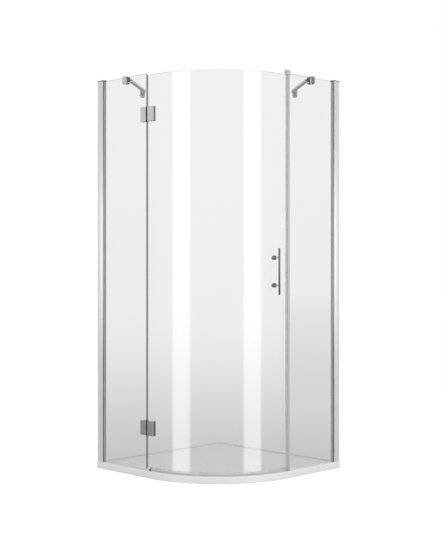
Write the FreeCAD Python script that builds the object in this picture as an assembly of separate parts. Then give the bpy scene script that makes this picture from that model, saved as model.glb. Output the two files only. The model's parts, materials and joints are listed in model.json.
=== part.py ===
import FreeCAD, Part
import math
import os

V = FreeCAD.Vector
UP = V(0, 0, 1)
SAME = 1e-3  # lengths closer than this count as equal

# Corner shower enclosure: a quadrant tray, two flat fixed panels and one curved hinged door.
# All lengths are in millimetres.
# Each half is drawn in side coordinates: u runs along the front edge from the wall,
# v runs inwards from the tray edge and z runs up from the floor.

# Tray
SIDE = 900.0  # tray length along each wall
FRONT_RADIUS = 480.0  # outer radius of the curved front
TRAY_HEIGHT = 34.0
TRAY_EDGE = 5.0  # rounding of the outer top edge
RIM_LAND = 0.5  # flat rim left behind the water bar
BACK_RIM = 14.0  # rim along the walls
RIM_EDGE = 3.0  # rounding of the rim where it drops to the basin
BASIN_CORNER = 30.0  # rounding of the basin's upright corners
FLOOR_LOW = 20.0  # floor height at the waste
FLOOR_FALL = 0.010  # rise of the floor per millimetre away from the waste

# Waste and its flush cover
WASTE_FROM_FRONT = 230.0  # waste centre from the middle of the curved front
WASTE_RADIUS = 45.0
COVER_RADIUS = 56.0
COVER_GAP = 2.0
COVER_THICK = 4.0
COVER_EDGE = 1.0
COVER_FOOT_HEIGHT = 2.0
COVER_FOOT_RADIUS = 3.0
COVER_FEET = 3

# Glass
GLASS = 6.0
GLASS_INSET = 16.0  # tray edge to the outer glass face
GLASS_ARRIS = 0.8
PANEL_HEIGHT = 1978.0
PANEL_FOOT_GAP = 3.0
DOOR_DROP = 9.0  # door top below the fixed panels
DOOR_LIFT = 11.0  # door glass above the tray rim
HINGE_LEG = 38.0  # flat end of the door glass that carries the hinges
HINGE_GAP = 6.0  # between the fixed glass and the door glass at the hinges
CLOSE_LEG = 19.0  # flat end of the door glass at the closing edge
CLOSE_GAP = 13.0  # between the door glass and the fixed glass at the closing edge

# Wall channels and the glass channels that slide in them
CHANNEL_DEPTH = 40.0
CHANNEL_WIDTH = 24.0
CHANNEL_WALL = 2.2
CHANNEL_CROWN = 1.0  # bulge of the outer faces
CHANNEL_ABOVE_GLASS = 3.0
SLIDE_CLEAR = 0.4
GLASS_CHANNEL_REACH = 7.0  # stands out of the wall channel
GLASS_CHANNEL_HOLD = 34.0  # stays inside the wall channel
GLASS_CHANNEL_WALL = 2.0
GLASS_CHANNEL_WEB = 4.0
GLASS_CHANNEL_EDGE = 1.5  # rounded nose beside the glass
GLASS_BITE = 24.0  # depth of glass held in the channel
GLAZING_GASKET = 2.0
GASKET_LIP = 1.2
SLOT_SPARE = 1.0  # free depth behind the glass edge
CAP_THICK = 4.0
CAP_LAP = 0.8
CAP_EDGE = 1.5
CAP_CORNER = 3.0
CAP_PEG = 10.0
CAP_PEG_CLEAR = 0.3
WALL_HOLE_RADIUS = 3.0
WALL_HOLE_END = 122.0  # first and last wall hole from the channel's ends
WALL_HOLES = 4
FIXING_SCREW_RADIUS = 2.0
FIXING_HEAD_RADIUS = 4.0
FIXING_HEAD_HEIGHT = 2.2
FIXING_SCREW_END = 160.0
FIXING_SCREWS = 3
FIXING_FROM_MOUTH = 16.0
FIXING_TIP_CLEAR = 2.0  # screw tip off the glass slot
SET_SCREW_RADIUS = 2.0
SET_SCREW_FROM_TOP = 40.0
SET_SCREW_FROM_END = 4.0
SET_SCREW_SUNK = 0.4
HOLE_CLEAR = 0.1  # round a screw in its hole

# Foot seals under the fixed panels
FOOT_SEAL_WALL = 1.3
FOOT_SEAL_HEIGHT = 7.0
FOOT_SEAL_SETBACK = 1.0

# Support arms
CLAMP_WIDTH = 28.0
CLAMP_BITE = 33.0  # clamp below the glass top
CLAMP_ROOF = 4.0
CLAMP_JAW_OUTER = 9.0
CLAMP_JAW_INNER = 17.0
CLAMP_PAD = 1.0
CLAMP_CORNER = 8.0
CLAMP_EDGE = 1.2
CLAMP_SCREW_RADIUS = 2.5
CLAMP_SCREW_SPREAD = 17.0
CLAMP_SCREW_DROP = 26.0  # below the glass top
ARM_DROP = 11.0  # arm axis below the glass top
ARM_TUBE_RADIUS = 10.0
ARM_TUBE_WALL = 1.5
ARM_END_COLLAR = 4.0
ARM_END_SPIGOT = 20.0
ARM_END_CLEAR = 0.1
LUG_THICK = 8.0
LUG_RADIUS = 8.0
LUG_REACH = 12.0  # lug base to pivot axis
LUG_CLEAR = 0.2
FORK_SPARE = 1.5  # room between the lug nose and the fork root
FORK_FLAT = 1.5  # fork cheeks below the full tube radius
PIVOT_RADIUS = 3.0
PIVOT_CLEAR = 0.05
PIVOT_HEAD_RADIUS = 4.5
PIVOT_HEAD_HEIGHT = 1.5
BRACKET_FROM_EDGE = 315.0  # bracket centre from the tray edge along the wall
BRACKET_WIDTH = 34.0
BRACKET_THICK = 5.0
BRACKET_ABOVE_ARM = 10.0
BRACKET_BELOW_ARM = 36.0
BRACKET_EDGE = 1.5
BRACKET_HOLE_RADIUS = 2.3
BRACKET_HOLE_SPREAD = 16.0
BRACKET_HOLE_DROP = 23.0  # below the arm axis

# Hinges
HINGE_HEIGHT = 73.0
HINGE_OFFSET = 9.0  # pin axis beyond the middle of the gap, over the door glass
HINGE_LEAF = 40.0
HINGE_FROM_TOP = 204.0  # hinge centre below the fixed glass top
HINGE_FROM_RIM = 212.0  # hinge centre above the tray rim
HINGE_GASKET = 1.2
HINGE_BACK_PLATE = 7.0
HINGE_PIN_RADIUS = 3.0
HINGE_PIN_EDGE = 0.5
HINGE_BUSH_WALL = 1.0
HINGE_BUSH_LENGTH = 12.0
HINGE_BUSH_FLANGE = 0.8
HINGE_KNUCKLE_WALL = 1.2
HINGE_BLOCK_HEIGHT = 14.0
HINGE_RUN = 0.05  # radial running clearance on the pin
HINGE_END_PLAY = 0.2
HINGE_ROOM = 0.6  # between a knuckle and the opposite leaf
HINGE_EDGE = 2.0  # rounding of the leaf edges beside the knuckle
HINGE_RIM = 1.2  # rounding of the other leaf edges
HINGE_GASKET_INSET = 1.0
HINGE_GASKET_CLEAR = 0.05  # pads off the curved glass
TENON_NECK = 4.0
TENON_HEAD = 6.5
TENON_NECK_LENGTH = 5.0
TENON_HEAD_LENGTH = 4.0
TENON_CLEAR = 0.1
CLAMP_BOLT_RADIUS = 2.5
CLAMP_BOLT_HEAD_RADIUS = 5.0
CLAMP_BOLT_HEAD = 2.8
CLAMP_BOLT_GRIP = 7.0  # thread in the outer plate
CLAMP_BOLT_SPREAD = 37.0
GLASS_HOLE_RADIUS = 6.0

# Door seals and the closing strip
SEAL_WALL = 1.1
SEAL_CLIP = 9.0  # reach of the closing seal's clip over the glass
HINGE_SEAL_CLIP = 4.5  # reach of the hinge seal's clip over the glass
SEAL_CLEAR = 0.4
SEAL_NOSE = 4.4  # magnet chamber of the door seal
CLOSE_CLEAR = 0.6  # between the two magnet faces
MAGNET_WIDTH = 5.0
MAGNET_THICK = 2.6
MAGNET_CLEAR = 0.1
STRIKE_WALL = 1.5
STRIKE_CLIP = 6.0
STRIKE_STOP_LAP = 9.0  # stop lip behind the door seal
STRIKE_STOP_CLEAR = 0.4
STRIKE_FOOT_LAP = 0.5  # shoe round the foot of the profile
STRIKE_CAP_LAP = 3.0
STRIKE_CAP_RISE = 16.0
STRIKE_CAP_CLEAR = 1.0
STRIKE_CAP_EDGE = 2.0
STRIKE_CAP_BEVEL = 1.0
SWEEP_HEIGHT = 8.0
SWEEP_BASE = 1.5
SWEEP_FIN = 1.2
SWEEP_CLEAR = 1.0  # fin above the tray
THRESHOLD_WIDTH = 8.0
THRESHOLD_HEIGHT = 6.0
THRESHOLD_CLEAR = 0.5  # behind the stop lip
THRESHOLD_EDGE = 2.0

# Handle
HANDLE_FROM_EDGE = 86.0  # along the glass from the door's closing edge
HANDLE_HEIGHT = 1026.0
HANDLE_LENGTH = 230.0
HANDLE_CENTRES = 136.0
HANDLE_BAR_RADIUS = 5.0
HANDLE_BAR_EDGE = 1.5
HANDLE_STANDOFF = 36.0  # outer glass face to the bar's axis
HANDLE_POST_BASE = 11.0
HANDLE_POST_NECK = 4.5
HANDLE_POST_FOOT = 3.0  # straight part of the base
HANDLE_POST_FLARE = 12.0
HANDLE_SPIGOT_RADIUS = 3.0
HANDLE_SPIGOT_LENGTH = 4.0
HANDLE_STUD_RADIUS = 3.0
HANDLE_STUD_GRIP = 14.0
HANDLE_WASHER = 1.0
HANDLE_CAP_RADIUS = 11.0
HANDLE_CAP_HEIGHT = 12.0
HANDLE_CAP_EDGE = 4.0

# Worked out from the sizes above
HALF = SIDE / 2
U_ARC = SIDE - FRONT_RADIUS  # where the flat front ends and the curve begins
V_OUT = GLASS_INSET
V_IN = GLASS_INSET + GLASS
V_MID = (V_OUT + V_IN) / 2
ARC_OUT = FRONT_RADIUS - V_OUT
ARC_IN = FRONT_RADIUS - V_IN
PANEL_FOOT = TRAY_HEIGHT + PANEL_FOOT_GAP
PANEL_TOP = PANEL_FOOT + PANEL_HEIGHT
DOOR_FOOT = TRAY_HEIGHT + DOOR_LIFT
DOOR_TOP = PANEL_TOP - DOOR_DROP
DOOR_START = U_ARC - HINGE_LEG
DOOR_END = U_ARC - CLOSE_LEG
PANEL_END_LEFT = DOOR_START - HINGE_GAP
PANEL_END_RIGHT = DOOR_END - CLOSE_GAP
CHANNEL_TOP = PANEL_TOP + CHANNEL_ABOVE_GLASS
CHANNEL_MOUTH = CHANNEL_DEPTH + GLASS_CHANNEL_REACH
GLASS_CHANNEL_HALF = CHANNEL_WIDTH / 2 - CHANNEL_WALL - SLIDE_CLEAR
SLOT_HALF = GLASS / 2 + GLAZING_GASKET
PANEL_START = CHANNEL_MOUTH - GLASS_BITE
SLOT_END = PANEL_START - SLOT_SPARE
ARM_Z = PANEL_TOP - ARM_DROP
CLAMP_FROM_WALL = (CHANNEL_MOUTH + PANEL_END_LEFT) / 2  # middle of the visible glass
KNUCKLE_RADIUS = HINGE_PIN_RADIUS + HINGE_RUN + HINGE_BUSH_WALL + HINGE_KNUCKLE_WALL
HINGE_U = DOOR_START - HINGE_GAP / 2 + HINGE_OFFSET
HINGE_V = V_OUT - HINGE_GASKET - KNUCKLE_RADIUS
HINGE_BACK = V_IN + HINGE_GASKET
HINGE_LEVELS = {
    "upper": PANEL_TOP - HINGE_FROM_TOP,
    "lower": TRAY_HEIGHT + HINGE_FROM_RIM,
}
SWEEP_TOP = DOOR_FOOT + SWEEP_HEIGHT
HANDLE_ANGLE = math.degrees((HANDLE_FROM_EDGE - CLOSE_LEG) / ARC_OUT)
STOP_FACE = V_IN + SEAL_WALL + STRIKE_STOP_CLEAR
STOP_BACK = STOP_FACE + STRIKE_WALL
THRESHOLD_NEAR = STOP_BACK + THRESHOLD_CLEAR
RIM_WIDTH = THRESHOLD_NEAR + THRESHOLD_WIDTH + RIM_LAND + RIM_EDGE
DIAGONAL = V(1, -1, 0) / math.sqrt(2)  # from the wall corner to the middle of the front
WASTE = V(U_ARC, FRONT_RADIUS, 0) + DIAGONAL * (FRONT_RADIUS - WASTE_FROM_FRONT)
FORK_HALF = ARM_TUBE_RADIUS - FORK_FLAT
COVER_SEAT = FLOOR_LOW - COVER_THICK - COVER_FOOT_HEIGHT


def block(u0, u1, v0, v1, z0, z1):
    """Box between two corners."""
    return Part.makeBox(u1 - u0, v1 - v0, z1 - z0, V(u0, v0, z0))


def rod(radius, start, direction, length):
    """Round rod from a start point along a direction."""
    return Part.makeCylinder(radius, length, start, direction)


def prism(edges, height):
    """Upright prism on a closed outline of edges."""
    return Part.Face(Part.Wire(Part.__sortEdges__(edges))).extrude(UP * height)


def line(p, q):
    return Part.LineSegment(p, q).toShape()


def arc(p, middle, q):
    return Part.Arc(p, middle, q).toShape()


def rounded(shape, radius, chosen):
    """Fillet on the edges whose box passes a test."""
    return shape.makeFillet(radius, [e for e in shape.Edges if chosen(e.BoundBox)])


def bevelled(shape, size, chosen):
    """Chamfer on the edges whose box passes a test."""
    return shape.makeChamfer(size, [e for e in shape.Edges if chosen(e.BoundBox)])


def same(a, b):
    return abs(a - b) < SAME


def level(value):
    """Test for edges that lie flat at one height."""
    return lambda box: same(box.ZMin, value) and same(box.ZMax, value)


def upright(box):
    """Test for edges that run along z."""
    return box.XLength < SAME and box.YLength < SAME


def along_u(box):
    return box.YLength < SAME and box.ZLength < SAME


def along_v(box):
    return box.XLength < SAME and box.ZLength < SAME


def at_seam(box):
    """Test for upright edges where the flat front runs into the curve."""
    return upright(box) and (same(box.XMin, U_ARC) or same(box.YMin, FRONT_RADIUS))


def left(shape):
    """Places a side drawing on the side whose wall is at the low end of X."""
    return shape.translated(V(-HALF, -HALF, 0))


def right(shape):
    """Places a side drawing on the other side, mirrored in the enclosure's diagonal."""
    return left(shape).mirror(V(0, 0, 0), V(1, 1, 0))


def front_outline(inset, back):
    """Edges of the tray outline, moved inwards by one inset in front and another at the walls."""
    middle = V(U_ARC, FRONT_RADIUS, 0) + DIAGONAL * (FRONT_RADIUS - inset)
    near, far = SIDE - inset, SIDE - back
    return [
        line(V(back, far, 0), V(back, inset, 0)),
        line(V(back, inset, 0), V(U_ARC, inset, 0)),
        arc(V(U_ARC, inset, 0), middle, V(near, FRONT_RADIUS, 0)),
        line(V(near, FRONT_RADIUS, 0), V(near, far, 0)),
        line(V(near, far, 0), V(back, far, 0)),
    ]


def door_band(v_out, v_in, start, end, z0, z1):
    """Band that follows the door: flat hinge end, quarter curve, flat closing end."""
    centre = V(U_ARC, FRONT_RADIUS, z0)
    tip = SIDE - end
    edges = []
    for v in (v_out, v_in):
        middle = centre + DIAGONAL * (FRONT_RADIUS - v)
        edges.append(line(V(start, v, z0), V(U_ARC, v, z0)))
        edges.append(arc(V(U_ARC, v, z0), middle, V(SIDE - v, FRONT_RADIUS, z0)))
        edges.append(line(V(SIDE - v, FRONT_RADIUS, z0), V(SIDE - v, tip, z0)))
    edges.append(line(V(start, v_out, z0), V(start, v_in, z0)))
    edges.append(line(V(SIDE - v_out, tip, z0), V(SIDE - v_in, tip, z0)))
    return prism(edges, z1 - z0)


def closing_block(u0, u1, v0, v1, z0, z1):
    """Box at the closing edge, given in the other side's coordinates."""
    return block(SIDE - v1, SIDE - v0, SIDE - u1, SIDE - u0, z0, z1)


def shower_tray():
    """Quadrant tray with a flat rim, a dished basin and the seat of the waste cover."""
    at_top = level(TRAY_HEIGHT)

    def front_edge(box):
        return at_top(box) and box.XMax > SAME and box.YMin < SIDE - SAME

    def basin_edge(box):
        inside = box.XMin > BACK_RIM - SAME and box.YMax < SIDE - BACK_RIM + SAME
        return at_top(box) and inside and box.XMax < SIDE - RIM_WIDTH + SAME

    tray = rounded(prism(front_outline(0, 0), TRAY_HEIGHT), TRAY_EDGE, front_edge)
    basin = prism(front_outline(RIM_WIDTH, BACK_RIM), TRAY_HEIGHT)
    basin = rounded(basin, BASIN_CORNER, lambda b: upright(b) and not at_seam(b))
    reach = SIDE * math.sqrt(2)
    corners = [V(0, 0, 0), V(reach, 0, 0), V(reach, 0, FLOOR_LOW + FLOOR_FALL * reach), V(0, 0, FLOOR_LOW)]
    floor = Part.Face(Part.makePolygon(corners + corners[:1])).revolve(V(0, 0, 0), UP, 360)
    tray = tray.cut(basin.cut(floor.translated(WASTE)))
    tray = bevelled(tray, RIM_EDGE, basin_edge)
    seat = rod(COVER_RADIUS + COVER_GAP, WASTE + UP * COVER_SEAT, UP, TRAY_HEIGHT)
    return tray.cut([seat, rod(WASTE_RADIUS, WASTE, UP, TRAY_HEIGHT)])


def waste_cover():
    """Flush disc on three feet, which lifts out of its seat."""
    centre = WASTE + UP * COVER_SEAT
    disc = rod(COVER_RADIUS, centre + UP * COVER_FOOT_HEIGHT, UP, COVER_THICK)
    disc = bevelled(disc, COVER_EDGE, level(FLOOR_LOW))
    ring = (WASTE_RADIUS + COVER_RADIUS) / 2
    feet = []
    for foot in range(COVER_FEET):
        turn = math.radians(360 / COVER_FEET * foot)
        place = centre + V(math.cos(turn), math.sin(turn), 0) * ring
        feet.append(rod(COVER_FOOT_RADIUS, place, UP, COVER_FOOT_HEIGHT))
    return disc.fuse(feet)


def fixing_levels():
    """Heights of the screws that join the two channels."""
    low = TRAY_HEIGHT + FIXING_SCREW_END
    high = CHANNEL_TOP - FIXING_SCREW_END
    return [low + (high - low) * i / (FIXING_SCREWS - 1) for i in range(FIXING_SCREWS)]


def wall_channel():
    """Crowned channel screwed to the wall, open towards the glass."""
    half = CHANNEL_WIDTH / 2
    low, high = V_MID - half, V_MID + half
    inner_low, inner_high = low + CHANNEL_WALL, high - CHANNEL_WALL
    deep = CHANNEL_DEPTH
    z = TRAY_HEIGHT
    corners = [
        V(deep, low, z),
        V(deep, inner_low, z),
        V(CHANNEL_WALL, inner_low, z),
        V(CHANNEL_WALL, inner_high, z),
        V(deep, inner_high, z),
        V(deep, high, z),
    ]
    edges = [line(p, q) for p, q in zip(corners, corners[1:])]
    edges.append(arc(V(0, low, z), V(deep / 2, low - CHANNEL_CROWN, z), V(deep, low, z)))
    edges.append(arc(V(0, high, z), V(deep / 2, high + CHANNEL_CROWN, z), V(deep, high, z)))
    edges.append(line(V(0, low, z), V(0, high, z)))
    channel = prism(edges, CHANNEL_TOP - z)
    first, last = z + WALL_HOLE_END, CHANNEL_TOP - WALL_HOLE_END
    holes = []
    for i in range(WALL_HOLES):
        height = first + (last - first) * i / (WALL_HOLES - 1)
        holes.append(rod(WALL_HOLE_RADIUS, V(0, V_MID, height), V(1, 0, 0), CHANNEL_WALL))
    for height in fixing_levels():
        start = V(CHANNEL_DEPTH - FIXING_FROM_MOUTH, inner_high, height)
        length = CHANNEL_WALL + CHANNEL_CROWN
        holes.append(rod(FIXING_SCREW_RADIUS + HOLE_CLEAR, start, V(0, 1, 0), length))
    return channel.cut(holes)


def glass_channel():
    """Channel that holds the glass edge and slides in the wall channel."""
    back, mouth = CHANNEL_DEPTH - GLASS_CHANNEL_HOLD, CHANNEL_MOUTH
    low, high = V_MID - GLASS_CHANNEL_HALF, V_MID + GLASS_CHANNEL_HALF
    wall = GLASS_CHANNEL_WALL
    body = block(back, mouth, low, high, TRAY_HEIGHT, CHANNEL_TOP)
    body = rounded(body, GLASS_CHANNEL_EDGE, lambda b: upright(b) and same(b.XMin, mouth))
    slot = block(SLOT_END, mouth, V_MID - SLOT_HALF, V_MID + SLOT_HALF, TRAY_HEIGHT, CHANNEL_TOP)
    pocket_end = SLOT_END - GLASS_CHANNEL_WEB
    pocket = block(back, pocket_end, low + wall, high - wall, TRAY_HEIGHT, CHANNEL_TOP)
    cuts = [slot, pocket]
    for height in fixing_levels():
        start = V(CHANNEL_DEPTH - FIXING_FROM_MOUTH, V_MID + SLOT_HALF, height)
        cuts.append(rod(FIXING_SCREW_RADIUS + HOLE_CLEAR, start, V(0, 1, 0), high - start.y))
    cuts.append(rod(SET_SCREW_RADIUS + HOLE_CLEAR, set_screw_place(), V(0, 1, 0), V_MID - SLOT_HALF - low))
    return body.cut(cuts)


def set_screw_place():
    """Where the set screw enters the outer face of the glass channel."""
    return V(CHANNEL_MOUTH - SET_SCREW_FROM_END, V_MID - GLASS_CHANNEL_HALF, PANEL_TOP - SET_SCREW_FROM_TOP)


def set_screw():
    """Headless screw that presses the glazing gasket against the glass."""
    start = set_screw_place() + V(0, SET_SCREW_SUNK, 0)
    return rod(SET_SCREW_RADIUS, start, V(0, 1, 0), GLASS_CHANNEL_HALF - SLOT_HALF - SET_SCREW_SUNK)


def fixing_screws():
    """Pan-head screws that lock the two channels together, on the shower side."""
    screws = []
    face = V_MID + CHANNEL_WIDTH / 2 + CHANNEL_CROWN
    tip = V_MID + SLOT_HALF + FIXING_TIP_CLEAR
    for height in fixing_levels():
        u = CHANNEL_DEPTH - FIXING_FROM_MOUTH
        shank = rod(FIXING_SCREW_RADIUS, V(u, tip, height), V(0, 1, 0), face - tip)
        head = rod(FIXING_HEAD_RADIUS, V(u, face, height), V(0, 1, 0), FIXING_HEAD_HEIGHT)
        screws.append(shank.fuse(head))
    return screws


def channel_cap():
    """Cap over the upper ends of both channels, with a peg in the hollow of the glass channel."""
    lap = CAP_LAP
    wide = CHANNEL_WIDTH / 2 + CHANNEL_CROWN + lap
    slim = GLASS_CHANNEL_HALF + lap
    top = CHANNEL_TOP + CAP_THICK
    cap = block(0, CHANNEL_DEPTH + lap, V_MID - wide, V_MID + wide, CHANNEL_TOP, top)
    nose = block(0, CHANNEL_MOUTH + lap, V_MID - slim, V_MID + slim, CHANNEL_TOP, top)
    cap = cap.fuse(nose).removeSplitter()
    cap = rounded(cap, CAP_CORNER, lambda b: upright(b) and b.XMin > CHANNEL_MOUTH)
    cap = bevelled(cap, CAP_EDGE, lambda b: level(top)(b) and b.XMax > SAME)
    back = CHANNEL_DEPTH - GLASS_CHANNEL_HOLD
    end = SLOT_END - GLASS_CHANNEL_WEB
    half = GLASS_CHANNEL_HALF - GLASS_CHANNEL_WALL - CAP_PEG_CLEAR
    peg = block(back, end - CAP_PEG_CLEAR, V_MID - half, V_MID + half, CHANNEL_TOP - CAP_PEG, CHANNEL_TOP)
    return cap.fuse(peg).removeSplitter()


def glazing_gaskets():
    """Rubber strips on both faces of the glass in its channel, with a lip over the channel's nose."""
    strips = []
    for sign in (-1, 1):
        inner = V_MID + sign * GLASS / 2
        outer = V_MID + sign * SLOT_HALF
        lip = outer + sign * GASKET_LIP
        corners = [
            V(PANEL_START, inner, PANEL_FOOT),
            V(CHANNEL_MOUTH + GASKET_LIP, inner, PANEL_FOOT),
            V(CHANNEL_MOUTH + GASKET_LIP, lip, PANEL_FOOT),
            V(CHANNEL_MOUTH, lip, PANEL_FOOT),
            V(CHANNEL_MOUTH, outer, PANEL_FOOT),
            V(PANEL_START, outer, PANEL_FOOT),
        ]
        face = Part.Face(Part.makePolygon(corners + corners[:1]))
        strips.append(face.extrude(UP * PANEL_HEIGHT))
    return Part.makeCompound(strips)


def fixed_panel(end):
    """Flat fixed glass with ground edges."""
    panel = block(PANEL_START, end, V_OUT, V_IN, PANEL_FOOT, PANEL_TOP)
    return panel.makeChamfer(GLASS_ARRIS, panel.Edges)


def foot_seal(end):
    """Clear strip under a fixed panel, folded up both faces of the glass."""
    start = CHANNEL_MOUTH + GASKET_LIP + FOOT_SEAL_SETBACK
    stop = end - FOOT_SEAL_SETBACK
    wall = FOOT_SEAL_WALL
    top = TRAY_HEIGHT + FOOT_SEAL_HEIGHT
    strip = block(start, stop, V_OUT - wall, V_IN + wall, TRAY_HEIGHT, top)
    return strip.cut(block(start, stop, V_OUT, V_IN, PANEL_FOOT, top))


def arm_pivots():
    """Clamp pivot and wall pivot of one support arm."""
    clamp = V(CLAMP_FROM_WALL, V_IN + CLAMP_PAD + CLAMP_JAW_INNER + LUG_REACH, ARM_Z)
    wall = V(BRACKET_THICK + LUG_REACH, BRACKET_FROM_EDGE, ARM_Z)
    return clamp, wall


def lug(pivot, direction):
    """Round-nosed ear with a pin hole, reaching from its base to the pivot."""
    across = V(direction.y, direction.x, 0)
    base = pivot - direction * LUG_REACH
    low = V(0, 0, LUG_THICK / 2)
    corners = [
        base - across * LUG_RADIUS - low,
        pivot - across * LUG_RADIUS - low,
        pivot + across * LUG_RADIUS - low,
        base + across * LUG_RADIUS - low,
    ]
    edges = [
        line(corners[0], corners[1]),
        arc(corners[1], pivot + direction * LUG_RADIUS - low, corners[2]),
        line(corners[2], corners[3]),
        line(corners[3], corners[0]),
    ]
    ear = prism(edges, LUG_THICK)
    return ear.cut(rod(PIVOT_RADIUS + PIVOT_CLEAR, pivot - low, UP, LUG_THICK))


def arm_clamp():
    """Saddle over the glass top with an outer jaw, a deep inner jaw and the arm's lug."""
    outer = V_OUT - CLAMP_PAD - CLAMP_JAW_OUTER
    inner = V_IN + CLAMP_PAD + CLAMP_JAW_INNER
    low = PANEL_TOP - CLAMP_BITE
    top = PANEL_TOP + CLAMP_PAD + CLAMP_ROOF
    u0, u1 = CLAMP_FROM_WALL - CLAMP_WIDTH / 2, CLAMP_FROM_WALL + CLAMP_WIDTH / 2
    body = block(u0, u1, outer, inner, low, top)
    body = rounded(body, CLAMP_CORNER, along_v)
    body = bevelled(body, CLAMP_EDGE, lambda b: b.YLength < SAME)
    slot = block(u0, u1, V_OUT - CLAMP_PAD, V_IN + CLAMP_PAD, low, PANEL_TOP + CLAMP_PAD)
    holes = []
    for screw in clamp_screw_places():
        holes.append(rod(CLAMP_SCREW_RADIUS + HOLE_CLEAR, screw, V(0, 1, 0), CLAMP_JAW_INNER))
    clamp_pivot, _ = arm_pivots()
    return body.cut([slot] + holes).fuse(lug(clamp_pivot, V(0, 1, 0))).removeSplitter()


def clamp_screw_places():
    """Where the set screws of one clamp press on its pad."""
    height = PANEL_TOP - CLAMP_SCREW_DROP
    spread = CLAMP_SCREW_SPREAD / 2
    return [V(CLAMP_FROM_WALL + side * spread, V_IN + CLAMP_PAD, height) for side in (-1, 1)]


def clamp_screws():
    """Headless screws in the inner jaw."""
    length = CLAMP_JAW_INNER - SET_SCREW_SUNK
    return [rod(CLAMP_SCREW_RADIUS, place, V(0, 1, 0), length) for place in clamp_screw_places()]


def clamp_pad():
    """Soft liner between the clamp and the glass top."""
    u0, u1 = CLAMP_FROM_WALL - CLAMP_WIDTH / 2, CLAMP_FROM_WALL + CLAMP_WIDTH / 2
    low = PANEL_TOP - CLAMP_BITE
    pad = block(u0, u1, V_OUT - CLAMP_PAD, V_IN + CLAMP_PAD, low, PANEL_TOP + CLAMP_PAD)
    return pad.cut(block(u0, u1, V_OUT, V_IN, low, PANEL_TOP))


def arm_root():
    """Distance from a pivot to the root of the fork that turns on it."""
    return LUG_RADIUS + FORK_SPARE


def arm_tube():
    """Round tube between the two end fittings."""
    clamp, wall = arm_pivots()
    along = (wall - clamp).normalize()
    skip = arm_root() + ARM_END_COLLAR
    length = (wall - clamp).Length - 2 * skip
    start = clamp + along * skip
    tube = rod(ARM_TUBE_RADIUS, start, along, length)
    return tube.cut(rod(ARM_TUBE_RADIUS - ARM_TUBE_WALL, start, along, length))


def arm_end(pivot, along):
    """Forked end fitting with a collar and a spigot in the tube."""
    across = V(-along.y, along.x, 0)
    root = arm_root()
    height = FORK_HALF
    nose = LUG_RADIUS
    low = V(0, 0, height)
    corners = [
        pivot + along * root - across * nose - low,
        pivot - across * nose - low,
        pivot + across * nose - low,
        pivot + along * root + across * nose - low,
    ]
    edges = [
        line(corners[0], corners[1]),
        arc(corners[1], pivot - along * nose - low, corners[2]),
        line(corners[2], corners[3]),
        line(corners[3], corners[0]),
    ]
    fork = prism(edges, 2 * height)
    gap = LUG_THICK + 2 * LUG_CLEAR
    clear = rod(root, pivot - UP * (gap / 2), UP, gap)
    hole = rod(PIVOT_RADIUS + PIVOT_CLEAR, pivot - low, UP, 2 * height)
    fork = fork.cut([clear, hole])
    round_bar = rod(ARM_TUBE_RADIUS, pivot - along * (2 * nose), along, root + 2 * nose)
    fork = fork.common(round_bar)
    collar = rod(ARM_TUBE_RADIUS, pivot + along * root, along, ARM_END_COLLAR)
    inner = ARM_TUBE_RADIUS - ARM_TUBE_WALL - ARM_END_CLEAR
    spigot = rod(inner, pivot + along * (root + ARM_END_COLLAR), along, ARM_END_SPIGOT)
    return fork.fuse([collar, spigot]).removeSplitter()


def arm_ends():
    """Both end fittings of one arm."""
    clamp, wall = arm_pivots()
    along = (wall - clamp).normalize()
    return Part.makeCompound([arm_end(clamp, along), arm_end(wall, along * -1)])


def pivot_pins():
    """Pins through the lugs and forks of one arm, with a flat head on top."""
    pins = []
    for pivot in arm_pivots():
        shank = rod(PIVOT_RADIUS, pivot - UP * FORK_HALF, UP, 2 * FORK_HALF)
        head = rod(PIVOT_HEAD_RADIUS, pivot + UP * FORK_HALF, UP, PIVOT_HEAD_HEIGHT)
        pins.append(shank.fuse(head).removeSplitter())
    return pins


def arm_bracket():
    """Rounded wall plate with the arm's lug near its top and two screw holes below."""
    _, pivot = arm_pivots()
    half = BRACKET_WIDTH / 2
    low, high = ARM_Z - BRACKET_BELOW_ARM, ARM_Z + BRACKET_ABOVE_ARM
    v0, v1 = BRACKET_FROM_EDGE - half, BRACKET_FROM_EDGE + half
    plate = block(0, BRACKET_THICK, v0, v1, low, high)
    plate = rounded(plate, half - BRACKET_EDGE, lambda b: along_u(b) and same(b.ZMin, low))
    plate = rounded(plate, BRACKET_ABOVE_ARM - BRACKET_EDGE, lambda b: along_u(b) and same(b.ZMin, high))
    plate = bevelled(plate, BRACKET_EDGE, lambda b: same(b.XMin, BRACKET_THICK))
    holes = []
    for side in (-1, 1):
        place = V(0, BRACKET_FROM_EDGE + side * BRACKET_HOLE_SPREAD / 2, ARM_Z - BRACKET_HOLE_DROP)
        holes.append(rod(BRACKET_HOLE_RADIUS, place, V(1, 0, 0), BRACKET_THICK))
    return plate.cut(holes).fuse(lug(pivot, V(1, 0, 0))).removeSplitter()


def hinge_bolt_places(z, sign):
    """Axis points of the two clamp bolts in one hinge leaf."""
    u = HINGE_U + sign * (KNUCKLE_RADIUS + HINGE_ROOM + HINGE_LEAF / 2)
    return [V(u, 0, z + side * CLAMP_BOLT_SPREAD / 2) for side in (-1, 1)]


def leaf_span(sign):
    """Near and far end of a hinge leaf along the glass, low value first."""
    near = HINGE_U + sign * (KNUCKLE_RADIUS + HINGE_ROOM)
    far = near + sign * HINGE_LEAF
    return min(near, far), max(near, far)


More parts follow.
